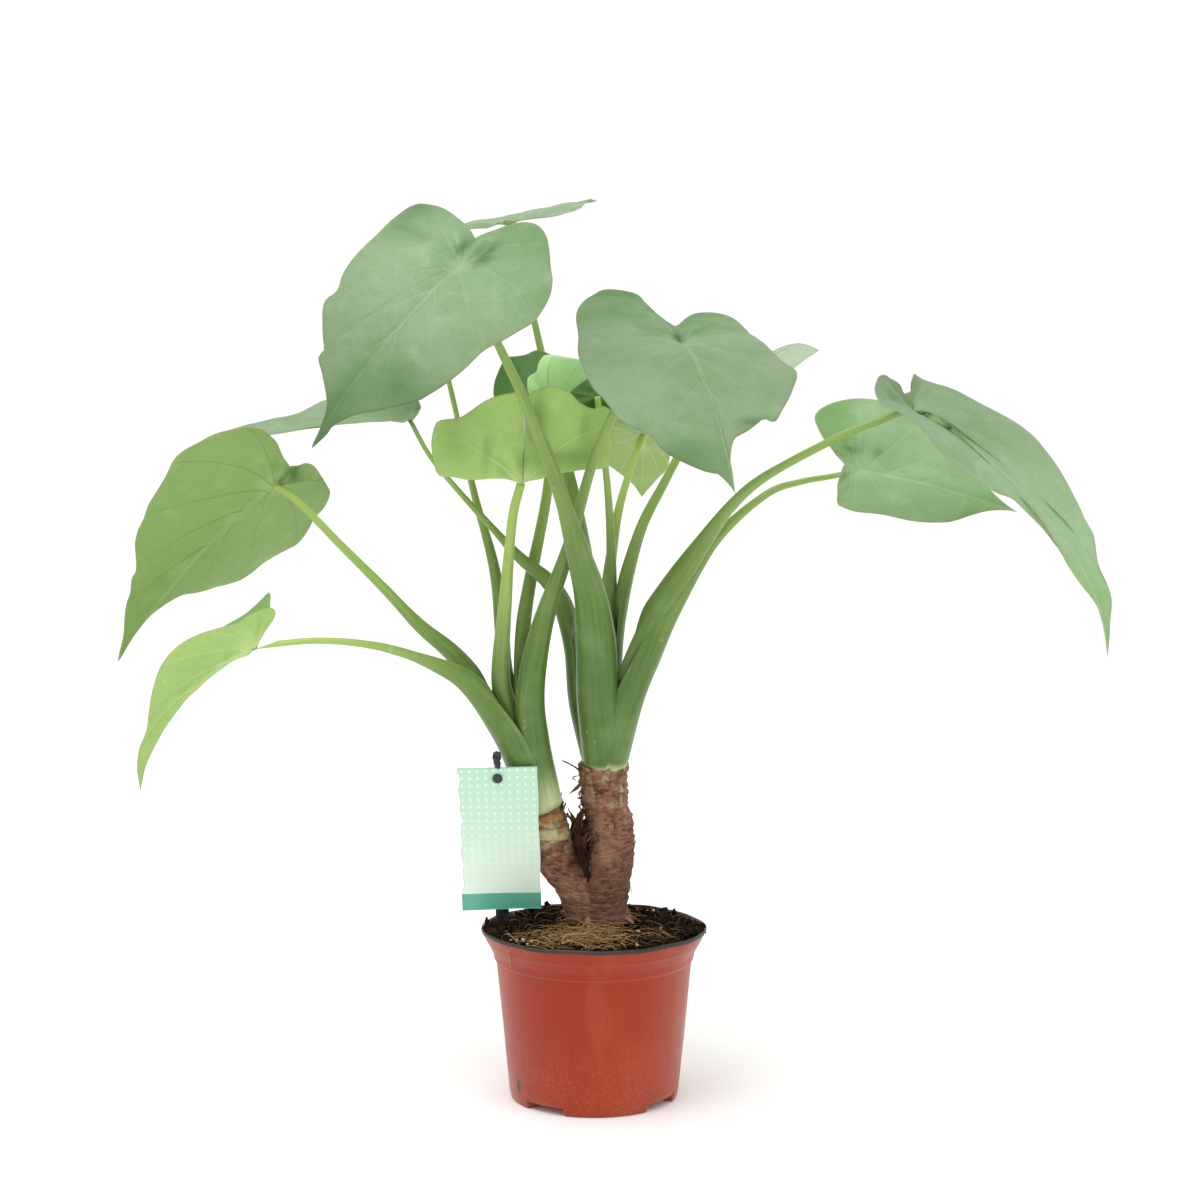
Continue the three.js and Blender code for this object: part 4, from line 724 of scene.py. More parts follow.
def placement(leaf):
    """The scale and turn that lay a bent blade from its seat to its tip with its upper side to face."""
    seat = np.array(leaf["seat"], float)
    chord = np.array(leaf["tip"], float) - seat
    tip = bend(leaf, np.array([0.0]), np.array([1.0]))[0]
    scale = np.linalg.norm(chord) / np.linalg.norm(tip)
    ahead = unit(chord)
    face = np.array(leaf["face"], float)
    up = unit(face - ahead * (face @ ahead))
    flat_ahead = unit(tip)
    flat_up = unit(np.array([0, 0, 1.0]) - flat_ahead * flat_ahead[2])
    source = np.stack([np.cross(flat_ahead, flat_up), flat_ahead, flat_up])
    target = np.stack([np.cross(ahead, up), ahead, up], axis=1)
    return scale, target @ source, seat


def vein_course(t, start, first, last):
    """Where a side vein crosses the ray at share t: its place on the outline."""
    if start:
        return last * np.clip((t - start) / (np.maximum(t, 1e-3) * (1 - start)), 0, 1) ** 0.8
    return mix(first, last, np.clip(t, 0, 1) ** 1.3)


def side_vein_ways(u, v, place, shares, scale):
    """How far each point of one half lies from each side vein, and how wide the vein is, both in mm."""
    du = np.gradient(u) / np.gradient(place)
    dv = np.gradient(v) / np.gradient(place)
    t = shares[:, None]
    turned = du * v - dv * u
    found = []
    for start, first, last in SIDE_VEINS:
        past = np.clip((t - start) / (1 - start), 0, 1)
        course = vein_course(t, start, first, last)
        step = 1e-3
        slope = (vein_course(t + step, start, first, last) - course) / step
        length = np.hypot(u + slope * du * t, v + slope * dv * t)
        gap = (place - course) * t * turned / np.maximum(length, 1e-6) * scale
        found.append((gap, mix(0.7, 0.25, past)))
    return found


def vein_gaps(u, v, shares, scale):
    """The same for the whole blade, with one row for each vein, and far from all of them at the seat."""
    n = len(u)
    place = np.arange(HALF_POINTS + 1) / HALF_POINTS
    gaps = np.full((len(SIDE_VEINS), 1 + RINGS * n), 50.0)
    widths = np.ones((len(SIDE_VEINS), 1 + RINGS * n))
    right = np.arange(HALF_POINTS + 1)
    left = np.concatenate([np.arange(HALF_POINTS, n), [0]])[::-1]
    for sign, index in ((1, right), (-1, left)):
        at = (1 + np.arange(RINGS)[:, None] * n + index).ravel()
        for row, (gap, width) in enumerate(side_vein_ways(u[index], v[index], place, shares, scale)):
            gaps[row, at] = gap.ravel() * sign
            widths[row, at] = np.broadcast_to(width, gap.shape).ravel()
    return gaps, widths


def blade_light(leaf, flat_u, flat_v):
    """How much painted shade of a dark spot, how bright the tones paint each point as light and shade, and
    how fresh it is, above and then below.
    """
    clear = np.ones(len(flat_u))
    for at_u, at_v, wide, long, amount in leaf.get("spots", ()):
        clear *= 1 - amount * bump(flat_u - at_u, wide) * bump(flat_v - at_v, long)
    tone = mix(*leaf.get("tones", (1, 1)), smooth(flat_v))
    upper = (leaf["fresh"], tone)
    sides = [np.stack([1 - clear, tone * 0 + level, np.full(len(tone), fresh)], axis=1)
             for fresh, level in (upper, leaf.get("under", upper))]
    return np.vstack(sides)


def point_normals(points, triangles):
    """The unit normal at each point, summed over the triangles round it."""
    normals = np.zeros_like(points)
    for face in triangles:
        a, b, c = points[face[:, 0]], points[face[:, 1]], points[face[:, 2]]
        normal = np.cross(b - a, c - a)
        for corner in range(3):
            np.add.at(normals, face[:, corner], normal)
    return unit(normals)


def add_blade(leaf, name, looks):
    """Adds one blade, and gives back the place and the upward normal of its seat."""
    u, v, place, sign = blade_grid(leaf)
    n = len(u)
    shares = np.linspace(0, 1, RINGS + 1)[1:] ** 0.9
    scale, turn, seat = placement(leaf)
    flat_u = np.concatenate([[0], np.outer(shares, u).ravel()])
    flat_v = np.concatenate([[0], np.outer(shares, v).ravel()])
    share = np.concatenate([[0], np.repeat(shares, n)])
    edge_place = np.concatenate([[0], np.tile(place, RINGS)])
    edge_sign = np.concatenate([[1], np.tile(sign, RINGS)])
    shape = bend(leaf, flat_u, flat_v)
    wave = WAVE * np.sin(5 * np.pi * edge_place + edge_sign * 0.9) * np.sin(np.pi * edge_place)
    shape[:, 2] += wave * share ** 3 - DIMPLE * bump(np.hypot(flat_u, flat_v), 0.07)
    points = (shape * scale) @ turn.T + seat
    fan = fan_faces(0, 1, n, True)
    quads = ring_faces(RINGS, n, 1)
    normals = point_normals(points, (fan, quads[:, :3], quads[:, [0, 2, 3]]))

    gaps, widths = vein_gaps(u, v, shares, scale)
    middle = flat_u * scale
    middle_width = mix(1.5, 0.3, smooth(flat_v)) * scale / 140
    behind = smooth(-flat_v / 0.04)
    radius = np.hypot(flat_u, flat_v) * scale
    along_edge = np.maximum(np.hypot(np.gradient(u), np.gradient(v)), 1e-6)
    edge_normal = np.abs(np.gradient(u) * v - np.gradient(v) * u) / along_edge
    margin = np.concatenate([[60], np.outer(1 - shares, edge_normal * scale).ravel()])

    groove = sum(bump(gap, 1.7) * (1 - 0.6 * share) for gap in gaps)
    relief = -0.3 * np.minimum(groove, 1) * smooth(radius / 9) - 0.45 * bump(middle, 3) * (1 - behind)
    crumple = leaf.get("crumple", 1)
    relief += crumple * ripple(points, 46, 3) * smooth(radius / 20) * (0.4 + share)
    relief += 0.34 * crumple * ripple(points, 17, 4) * smooth(radius / 16)
    pucker = bump(radius - 16, 9) * smooth(-flat_v / 0.05) * np.sin(9 * np.arctan2(flat_u, -flat_v) + 1)
    relief += 1.1 * pucker
    points = points + normals * relief[:, None]

    thick = BLADE_THICK * (1 - 0.55 * share ** 6)
    rib = 1.5 * bump(middle, 1.5) * (1 - behind) * (1 - smooth(flat_v * 1.1)) * smooth(radius / 3)
    side_rib = 0.35 * np.minimum(sum(bump(gap, 0.9) for gap in gaps), 1) * (1 - share) * smooth(radius / 6)
    top = points + normals * (thick / 2)[:, None]
    low = points - normals * (thick / 2 + rib + side_rib)[:, None]
    count = len(points)
    k = np.arange(n)
    rim = 1 + (RINGS - 1) * n + np.stack([k, (k + 1) % n], axis=1)
    rim_faces = np.concatenate([rim, rim[:, ::-1] + count], axis=1)
    faces = [fan, quads, fan[:, ::-1] + count, quads[:, ::-1] + count, rim_faces]
    half_faces = len(fan) + len(quads)
    kinds = np.concatenate([np.zeros(half_faces), np.ones(half_faces), np.zeros(n)])
    narrow = gaps / widths
    middle_ways = np.where(behind > 0.5, 9.0, middle / middle_width)
    values = {
        "veins_a": np.tile(narrow[:3].T, (2, 1)),
        "veins_b": np.tile(np.stack([narrow[3], narrow[4], middle_ways], axis=1), (2, 1)),
        "blade": np.tile(np.stack([margin, flat_v, radius], axis=1), (2, 1)),
        "light": blade_light(leaf, flat_u, flat_v),
    }
    both = np.vstack([top, low])
    add_piece(f"{name}_blade_fine", both, faces, looks, (f"{name}_blade",), kinds, values)
    return points[0], normals[0]


def section(radius, wrap):
    """One section of a stalk: round above, and an open sheath with thin margins where wrap is near 1."""
    half = mix(rad(112), rad(104), wrap)
    a = np.linspace(-half, half, OUTER_POINTS)
    outer = radius * np.stack([np.cos(a), np.sin(a)], axis=1)
    t = (np.arange(INNER_POINTS) + 1) / (INNER_POINTS + 1)
    around = mix(half, 2 * np.pi - half, t)
    back = mix(half, -half, t)
    thin = mix(min(0.32 * radius, 3), 0.7, np.abs(back / half) ** 2.5)
    inner = np.stack([mix(radius * np.cos(around), (radius - thin) * np.cos(back), wrap),
                      mix(radius * np.sin(around), (radius - thin) * np.sin(back), wrap)], axis=1)
    wing = wrap * np.concatenate([np.abs(a / half) ** 14, np.abs(back / half) ** 6])
    return np.vstack([outer, inner]), wing


def add_stalk(leaf, name, look, seat, seat_normal):
    """Adds one stalk along its route, with its sheath, cut off under the seat of its blade."""
    path = spaced(leaf["route"], STALK_STEPS)
    outward = unit(np.array([*leaf["out"], 0.0]))
    outward[2] = -0.6
    n = OUTER_POINTS + INNER_POINTS
    reach = np.concatenate([[0], np.cumsum(np.linalg.norm(np.diff(path, axis=0), axis=1))])
    rows, wings, grains = [], [], []
    for i, p in enumerate(path):
        ahead = unit(path[min(i + 1, STALK_STEPS)] - path[max(i - 1, 0)])
        out = unit(outward - ahead * (outward @ ahead))
        across = np.cross(ahead, out)
        t = i / STALK_STEPS
        wrap = 0.9 * (1 - smooth((t - 0.55 * leaf["sheath"]) / (0.45 * leaf["sheath"])))
        radius = along(leaf["radii"], t)
        flat, wing = section(radius, wrap)
        rows.append(p + flat[:, :1] * out + flat[:, 1:] * across)
        wings.append(wing)
        angle = np.arctan2(flat[:, 1], flat[:, 0])
        grains.append(np.stack([angle * radius * 0.5, np.full(n, reach[i] / 60), np.zeros(n)], axis=1))
    points = np.vstack([*rows, path[:1], path[-1:]])
    above = (points - seat) @ seat_normal
    near = np.linalg.norm(points - seat, axis=1) < 14
    points = points - seat_normal * np.where(near, np.maximum(above + 0.15, 0), 0)[:, None]
    length = np.concatenate([np.repeat(reach / reach[-1], n), [0, 1]])
    up = np.concatenate([np.repeat(reach, n), [0, reach[-1]]]) * leaf.get("pale", 1)
    values = {
        "stalk": np.stack([length, np.concatenate([*wings, [0, 0]]), up], axis=1),
        "grain": np.vstack([*grains, np.zeros((2, 3))]),
        "fresh": np.full(len(points), max(leaf["fresh"], 0)),
    }
    faces = [ring_faces(STALK_STEPS + 1, n), fan_faces(len(points) - 2, 0, n, True),
             fan_faces(len(points) - 1, STALK_STEPS * n, n)]
    add_piece(f"{name}_stalk_fine", points, faces, [look], (f"{name}_stalk",), None, values)


def leaves():
    above = blade_look("blade_upper", (0.255, 0.37, 0.21), (0.11, 0.25, 0.06), (0.27, 0.46, 0.12),
                       (0.37, 0.49, 0.31), (0.37, 0.5, 0.3), (0.4, 0.52, 0.32), (0.4, 0.66, 0.08), True)
    below = blade_look("blade_under", (0.23, 0.38, 0.14), (0.15, 0.31, 0.075), (0.42, 0.58, 0.17),
                       (0.17, 0.31, 0.09), (0.56, 0.69, 0.36), (0.5, 0.64, 0.28), (0.46, 0.72, 0.08), False)
    skin = stalk_look()
    for number, leaf in enumerate(LEAVES, 1):
        name = f"leaf_{number:02d}"
        seat, normal = add_blade(leaf, name, [above, below])
        add_stalk(leaf, name, skin, seat, normal)


def grit(points, scale, seed, octaves=4):
    """Roughness made of finer and finer ripples."""
    return sum(ripple(points, scale / 2 ** k, seed + k) / 1.7 ** k for k in range(octaves))


def tubes(paths, radii, sides=5):
    """Round strands along the paths, thinning to both ends, as points, quads and the strand of each point."""
    points, faces, owner = [], [], []
    angles = np.arange(sides) * 2 * np.pi / sides
    start = 0
    for number, (path, radius) in enumerate(zip(paths, radii)):
        path = np.asarray(path, float)
        ahead = unit(np.gradient(path, axis=0))
        side = unit(np.cross(ahead, [0.31, 0.47, 0.83]))
        over = np.cross(ahead, side)
        thin = radius * (1 - 0.75 * np.abs(np.linspace(-1, 1, len(path))) ** 3)
        around = (np.cos(angles)[None, :, None] * side[:, None]
                  + np.sin(angles)[None, :, None] * over[:, None])
        ring = path[:, None] + thin[:, None, None] * around
        points.append(ring.reshape(-1, 3))
        faces.append(ring_faces(len(path), sides, start))
        faces.append(start + np.arange(sides)[None, ::-1])
        faces.append(start + (len(path) - 1) * sides + np.arange(sides)[None, :])
        owner.append(np.full(len(path) * sides, number))
        start += len(path) * sides
    return np.vstack(points), faces, np.concatenate(owner)


def lumps(centres, sizes, seed, rows=7, sides=10, rough=0.3):
    """Irregular lumps as one set of points and faces, with the lump of each point."""
    draw = np.random.default_rng(seed)
    tilt = np.linspace(0, np.pi, rows)[1:-1]
    turn = np.arange(sides) * 2 * np.pi / sides
    ball = np.stack([np.outer(np.sin(tilt), np.cos(turn)), np.outer(np.sin(tilt), np.sin(turn)),
                     np.outer(np.cos(tilt), np.ones(sides))], axis=-1).reshape(-1, 3)
    ball = np.vstack([ball, [(0, 0, 1), (0, 0, -1)]])
    body = ring_faces(rows - 2, sides)[:, ::-1]
    caps = [fan_faces(len(ball) - 2, 0, sides), fan_faces(len(ball) - 1, (rows - 3) * sides, sides, True)]
    points, faces, owner = [], [], []
    for number, (centre, size) in enumerate(zip(centres, sizes)):
        shape = ball * (1 + rough * draw.normal(size=(len(ball), 1)))
        spin = np.linalg.qr(draw.normal(size=(3, 3)))[0]
        spin *= np.sign(np.linalg.det(spin))
        points.append((shape * np.asarray(size)) @ spin + centre)
        start = number * len(ball)
        faces += [body + start, caps[0] + start, caps[1] + start]
        owner.append(np.full(len(ball), number))
    return np.vstack(points), faces, np.concatenate(owner)


def on_stem(stem, z, turn, out):
    """A place on a stem at height z, out from its mean radius, and the way outward there."""
    rows = np.array(stem, float)
    x, y, radius = (np.interp(z, rows[:, 2], rows[:, k]) for k in (0, 1, 3))
    outward = np.array([math.cos(turn), math.sin(turn), 0.0])
    return np.array([x, y, z]) + outward * (radius + out), outward


def scar_steps(low, high, seed):
    """The heights at which old leaf scars ring a stem, at uneven steps."""
    draw = np.random.default_rng(seed)
    steps = low + np.cumsum(draw.uniform(0.6, 1.45, 60) * SCAR_PITCH)
    return np.concatenate([[low - 3], steps[steps < high], [high + 8]])


def stem_surface(rows, seed):
    """A ringed stem: leaf scars overlap like worn collars, with lengthwise fibres and soft knobs."""
    rows = np.array(rows, float)
    count = int((rows[-1, 2] - rows[0, 2]) / STEM_STEP)
    centres = spaced(rows[:, :3], count)
    radius = np.interp(centres[:, 2], rows[:, 2], rows[:, 3])[:, None]
    angle = np.arange(STEM_SIDES)[None, :] * 2 * np.pi / STEM_SIDES
    lean = angle + seed + centres[:, 2:3] / 17
    height = centres[:, 2:3] + 2.1 * np.sin(lean) + 0.9 * np.sin(2 * lean + centres[:, 2:3] / 9)
    scars = scar_steps(rows[0, 2], rows[-1, 2], seed)
    at = np.interp(height, scars, np.arange(len(scars)))
    number = np.floor(at).astype(int)
    past = at - number
    depth = np.random.default_rng(seed + 1).uniform(0.35, 1.25, len(scars) + 1)[number]
    collar = depth * (past ** 0.7 - 0.55) - 0.5 * bump(past - 1, 0.07)
    flat = np.stack([np.cos(angle) * 14 + 0 * height, np.sin(angle) * 14 + 0 * height, height], axis=-1)
    knobs = 0.55 * ripple(flat.reshape(-1, 3), 17, seed + 5).reshape(height.shape)
    fibres = 0.26 * grit((flat * (0.6, 0.6, 1.5)).reshape(-1, 3), 5, seed + 9, 3).reshape(height.shape)
    chips = 0.36 * grit(flat.reshape(-1, 3), 6, seed + 13, 3).reshape(height.shape)
    reach = radius + collar + knobs + fibres + chips
    points = np.stack([centres[:, :1] + reach * np.cos(angle), centres[:, 1:2] + reach * np.sin(angle),
                       centres[:, 2:3] + 0 * angle], axis=-1)
    return points, past


def flake(base, outward, up, width, length, lift, curl, draw):
    """One papery scale: a small pointed sheet that leaves the stem at its foot and curls away."""
    s = np.linspace(0, 1, FLAKE_ROWS)[:, None]
    w = np.linspace(-1, 1, FLAKE_POINTS)[None, :]
    across = np.cross(outward, up)
    half = 0.5 * width * (1 - s ** 1.6) * (1 + 0.25 * np.sin(7 * s + draw.uniform(0, 6)))
    x = half * w + 0.15 * length * s ** 2 * draw.normal()
    out = lift * s ** 1.5 - 0.12 * width * w ** 2 + 0.25 * draw.normal(size=x.shape) * s * (1 - s)
    rise = length * s * (1 - curl * s) + 0.5 * draw.normal(size=(1, FLAKE_POINTS)) * s
    grid = base + x[..., None] * across + out[..., None] * outward + (rise + 0 * w)[..., None] * up
    return grid.reshape(-1, 3)


def sheets(grids, rows, count):
    """Small sheets of rows by count points with both faces and closed edges, as points and quads."""
    thick = 0.25
    points, faces = [], []
    border = ([(0, c) for c in range(count)] + [(r, count - 1) for r in range(1, rows)]
              + [(rows - 1, c) for c in range(count - 2, -1, -1)] + [(r, 0) for r in range(rows - 2, 0, -1)])
    ring = np.array([r * count + c for r, c in border])
    nxt = np.roll(ring, -1)
    cell = ring_faces(rows, count, closed=False)
    for number, grid in enumerate(grids):
        size = len(grid)
        shape = grid.reshape(rows, count, 3)
        normal = unit(np.cross(np.gradient(shape, axis=1), np.gradient(shape, axis=0))).reshape(-1, 3)
        start = number * 2 * size
        points += [grid + normal * thick / 2, grid - normal * thick / 2]
        faces += [cell + start, cell[:, ::-1] + start + size,
                  np.stack([ring, ring + size, nxt + size, nxt], axis=1) + start]
    return np.vstack(points), faces


def bark_look():
    """Bark: fibrous browns, broken scar edges, dark cracks, green and orange near the crowns, lichen."""
    tree = Tree("bark")
    past, height, left = tree.parts("bark")
    fibre = tree.noise(1.0, 6, 0.68, tree.vector("grain"))
    cloud = tree.noise(62, 4, 0.62)
    coarse = tree.noise(26, 3, 0.55)
    brown = tree.blend(tree.span(fibre, 0.32, 0.68), (0.075, 0.03, 0.017), (0.31, 0.145, 0.088))
    brown = tree.blend(tree.span(cloud, 0.42, 0.72, 0, 0.7), brown, (0.38, 0.22, 0.14))
    brown = tree.blend(tree.span(coarse, 0.5, 0.7, 0, 0.7), brown, (0.29, 0.095, 0.052))
    broken = tree.span(tree.noise(70, 3, 0.6), 0.48, 0.64)
    collar = tree.math("MULTIPLY", tree.span(past, 0.78, 0.97), broken)
    brown = tree.blend(tree.math("MULTIPLY", collar, 0.5), brown, (0.46, 0.32, 0.2))
    crack = tree.span(past, 0.0, 0.1, 0.75, 0)
    brown = tree.blend(crack, brown, (0.02, 0.01, 0.006))
    crown = tree.span(tree.math("ADD", height, tree.math("MULTIPLY", cloud, 9)), -3, 17, 1, 0)
    brown = tree.blend(tree.math("MULTIPLY", crown, 0.35), brown, (0.34, 0.3, 0.13))
    uneven = tree.math("ADD", height, tree.math("MULTIPLY", coarse, 2))
    ring = tree.math("ABSOLUTE", tree.math("SUBTRACT", uneven, 14.5))
    green_ring = tree.math("MULTIPLY", tree.span(ring, 2.0, 4.5, 1, 0), left)
    brown = tree.blend(tree.math("MULTIPLY", green_ring, 0.8), brown, (0.5, 0.47, 0.24))
    orange = tree.math("MULTIPLY", tree.span(height, 7, 11, 1, 0), left)
    brown = tree.blend(tree.math("MULTIPLY", orange, 0.55), brown, (0.42, 0.17, 0.05))
    patches = tree.span(tree.noise(90, 3, 0.65), 0.52, 0.6, 0, 0.75)
    lichen = tree.math("MULTIPLY", tree.span(height, 36, 10), patches)
    brown = tree.blend(lichen, brown, (0.4, 0.4, 0.22))
    dim = tree.noise(44, 4, 0.65, None, 0.8)
    brown = tree.blend(tree.span(dim, 0.54, 0.64, 0, 0.55), brown, (0.03, 0.013, 0.008))
    brown = tree.blend(tree.span(height, 36, 78, 0, 0.5), brown, (0.07, 0.036, 0.026))
    brown = tree.blend(tree.value("shade"), brown, (0.014, 0.007, 0.005))
    deep = tree.math("ADD", tree.math("MULTIPLY", fibre, 1.0), tree.math("MULTIPLY", cloud, 0.8))
    normal = tree.bump(deep, 0.0012, 0.8)
    rough = tree.span(cloud, 0.3, 0.7, 0.62, 0.85)
    return tree.done(tree.surface(brown, rough, normal, Specular_IOR_Level=0.12))


def fibre_look(name, dark, pale, rough=0.7):
    """The look of small dry things, from dark to pale by the tone at their points."""
    tree = Tree(name)
    tone = tree.value("tone")
    cloud = tree.noise(160, 3)
    color = tree.blend(tone, dark, pale)
    color = tree.blend(tree.span(cloud, 0.35, 0.7, 0, 0.4), color, dark)
    normal = tree.bump(cloud, 0.0003, 0.6)
    return tree.done(tree.surface(color, rough, normal, Specular_IOR_Level=0.12))


def trunk():
    """Both stems and the web as one piece of bark, then the loose scales and fibres on it."""
    points, faces, marks, grains, shades = [], [], [], [], []
    start = 0
    stems = ((RIGHT_STEM, RIGHT_CROWN), (LEFT_STEM, LEFT_CROWN), (WEB, NO_CROWN))
    for seed, (rows, crown) in enumerate(stems):
        shape, past = stem_surface(rows, 21 + 7 * seed)
        n = len(shape)
        flat = shape.reshape(-1, 3)
        points += [flat, shape[-1].mean(axis=0)[None], shape[0].mean(axis=0)[None]]
        faces.append(ring_faces(n, STEM_SIDES, start))
        faces.append(fan_faces(start + len(flat), start + (n - 1) * STEM_SIDES, STEM_SIDES))
        faces.append(fan_faces(start + len(flat) + 1, start, STEM_SIDES, True))
        size = len(flat) + 2
        height = np.concatenate([crown - flat[:, 2], [0, 90]])
        left = np.full(size, float(rows is LEFT_STEM))
        marks.append(np.stack([np.concatenate([past.ravel(), [0.5, 0.5]]), height, left], axis=1))
        angle = np.tile(np.arange(STEM_SIDES) * 2 * np.pi / STEM_SIDES, n)
        grain = np.stack([3.2 * np.cos(angle), 3.2 * np.sin(angle), flat[:, 2] * 0.62 + seed * 40], axis=1)
        grains.append(np.vstack([grain, np.zeros((2, 3))]))
        # Painted shade: the bark darkens in the fork between the stems, and the web is painted almost black
        # as shade.
        near = bump(flat[:, 0] + 8.5, 6.5) * smooth((flat[:, 2] - 124) / 14) * smooth((178 - flat[:, 2]) / 16)
        shade = np.where(rows is WEB, 0.93, 0.9 * near)
        shades.append(np.concatenate([shade, [shade.max(), 0]]))
        start += size
    values = {"bark": np.vstack(marks), "grain": np.vstack(grains), "shade": np.concatenate(shades)}
    add_piece("trunk_bark", np.vstack(points), faces, [bark_look()], ("trunk",), values=values)
    scales()
    torn_fibres()


def scales():
    """Dry remains of old sheaths round both crowns, on the scars and on the web in the fork."""
    draw = np.random.default_rng(41)
    grids = []
    for stem, count, low, high in ((RIGHT_STEM, 30, 130, 192), (LEFT_STEM, 20, 128, 166)):
        for _ in range(count):
            z = high - (high - low) * draw.uniform(0, 1) ** 1.7
            base, outward = on_stem(stem, z, draw.uniform(0, 2 * np.pi), 0.1)
            way = 1 if draw.uniform() < 0.6 else -1
            up = unit(np.array([0.25 * draw.normal(), 0.25 * draw.normal(), way]))
            size = (draw.uniform(3, 9), draw.uniform(3, 7), draw.uniform(0.3, 2.4))
            grids.append(flake(base, outward, up, *size, 0.2, draw))
    spike = np.array([-8.6, 6.0, 189.5])
    for base, outward, up, *size in (
        (spike, (-1, -0.25, 0.1), (-0.45, 0, 1), 8, 7, 7.5),
        (spike + (1, -3, -6), (-1, -0.5, 0), (-0.5, 0, -1), 5, 8, 3.5),
    ):
        grids.append(flake(base, unit(np.array(outward)), unit(np.array(up)), *size, 0.1, draw))
    tones = list(draw.uniform(0.1, 1, len(grids)))
    for number in range(FORK_FLAKES):
        on_web = number < WEB_FLAKES
        z = draw.uniform(142, 159) if on_web else draw.uniform(128, 184)
        turn = draw.uniform(3.6, 5.6) if on_web else draw.uniform(2.6, 3.6)
        base, outward = on_stem(WEB if on_web else RIGHT_STEM, z, turn, -0.3)
        way = 1 if on_web or draw.uniform() < 0.45 else -1
        up = unit(np.array([0.3 * draw.normal(), 0.2 * draw.normal(), way]))
        size = (draw.uniform(3, 7), draw.uniform(6, 15), draw.uniform(0.5, 4.5))
        grids.append(flake(base, outward, up, *size, 0.15, draw))
        tones.append(draw.uniform(-0.12, 0.3))
    for number in range(CROWN_SCALES):
        z = draw.uniform(163.5, 166.5)
        turn = 2 * np.pi * (number + draw.uniform(-0.3, 0.3)) / CROWN_SCALES
        base, outward = on_stem(LEFT_STEM, z, turn, -0.1)
        up = unit(np.array([0.12 * draw.normal(), 0.12 * draw.normal(), 1]))
        size = (draw.uniform(5, 9), draw.uniform(4.5, 8.5), draw.uniform(0.3, 1.5))
        grids.append(flake(base, outward, up, *size, 0.1, draw))
        tones.append(draw.uniform(0.25, 0.85))
    points, faces = sheets(grids, FLAKE_ROWS, FLAKE_POINTS)
    tone = np.repeat(tones, 2 * FLAKE_ROWS * FLAKE_POINTS)
    look = fibre_look("dry_scale", (0.045, 0.018, 0.01), (0.4, 0.25, 0.14))
    add_piece("trunk_scales", points, faces, [look], values={"tone": tone})


def torn_fibres():
    """Dark torn fibres between the stems and thin ones round the scars."""
    draw = np.random.default_rng(57)
    paths, radii = [], []
    for number in range(TORN):
        between = number < TORN_BETWEEN
        z = draw.uniform(150, 187) if between else draw.uniform(112, 188)
        stem = RIGHT_STEM if between or number % 3 else LEFT_STEM
        turn = draw.uniform(2.7, 3.9) if between else draw.uniform(0, 2 * np.pi)
        base, outward = on_stem(stem, min(z, stem[-1][2] - 3), turn, -0.6)
        t = np.linspace(0, 1, 10)[:, None]
        long = draw.uniform(4, 9) if between else draw.uniform(3, 7)
        fall = draw.uniform(-0.3, 1.1) * long
        sway = draw.normal(size=3) * long * 0.25
        paths.append(base + outward * long * 0.62 * t * (1 - 0.35 * t) + np.array([0, 0, -1]) * fall * t ** 2
                     + sway * np.sin(np.pi * t))
        radii.append(draw.uniform(0.2, 0.55))
    points, faces, owner = tubes(paths, radii)
    tone = draw.uniform(0, 0.55, len(paths))[owner]
    look = fibre_look("torn_fibre", (0.035, 0.018, 0.012), (0.3, 0.17, 0.1))
    add_piece("trunk_fibres", points, faces, [look], values={"tone": tone})


def heap(x, y):
    """The height of the mix: heaped towards the trunk and a little higher in front."""
    front = MIX_FRONT_RISE * np.clip(-y / MIX_EDGE_R, 0, 1)
    return mix(MIX_EDGE_Z, MIX_HEAP_Z, bump(np.hypot(x - HEAP_AT[0], y - HEAP_AT[1]), HEAP_REACH)) + front


def mix_look():
    """Peat: dark crumb with browner patches."""
    tree = Tree("peat")
    cloud = tree.noise(120, 5, 0.7)
    coarse = tree.noise(34, 3, 0.6)
    color = tree.blend(tree.span(cloud, 0.35, 0.7), (0.004, 0.0025, 0.0015), (0.026, 0.013, 0.006))
    color = tree.blend(tree.span(coarse, 0.52, 0.72, 0, 0.4), color, (0.06, 0.036, 0.014))
    return tree.done(tree.surface(color, 0.92, tree.bump(cloud, 0.0015, 1.0), Specular_IOR_Level=0.06))


def mix_bed():
    """The body of the mix: an uneven top, and under it the inside of the pot."""
    rings, sides = 100, 240
    shares = np.linspace(0, 1, rings + 1)[1:] ** 0.75
    angle = np.arange(sides) * 2 * np.pi / sides
    x = np.concatenate([[0], np.outer(shares, np.cos(angle)).ravel()]) * MIX_EDGE_R
    y = np.concatenate([[0], np.outer(shares, np.sin(angle)).ravel()]) * MIX_EDGE_R
    flat = np.stack([x, y, np.zeros_like(x)], axis=1)
    edge = np.clip((MIX_EDGE_R - np.hypot(x, y)) / 4, 0, 1)
    z = heap(x, y) + (1.3 * grit(flat, 15, 80, 5) + 0.5) * (0.4 + 0.6 * edge)
    low = 6.5
    walls = [np.stack([r * np.cos(angle), r * np.sin(angle), np.full(sides, height)], axis=1)
             for r, height in ((59.3, 92.5), (56.4, 86), (54.5, 80.5), (FOOT_R - 2.2, low))]
    points = np.vstack([np.stack([x, y, z], axis=1), *walls, [(0, 0, low)]])
    rim = 1 + (rings - 1) * sides
    base = 1 + (rings + 3) * sides
    faces = [fan_faces(0, 1, sides), ring_faces(rings, sides, 1)[:, ::-1], ring_faces(5, sides, rim)[:, ::-1],
             fan_faces(base + sides, base, sides, True)]
    add_piece("mix_bed", points, faces, [mix_look()], ("growing_mix",))


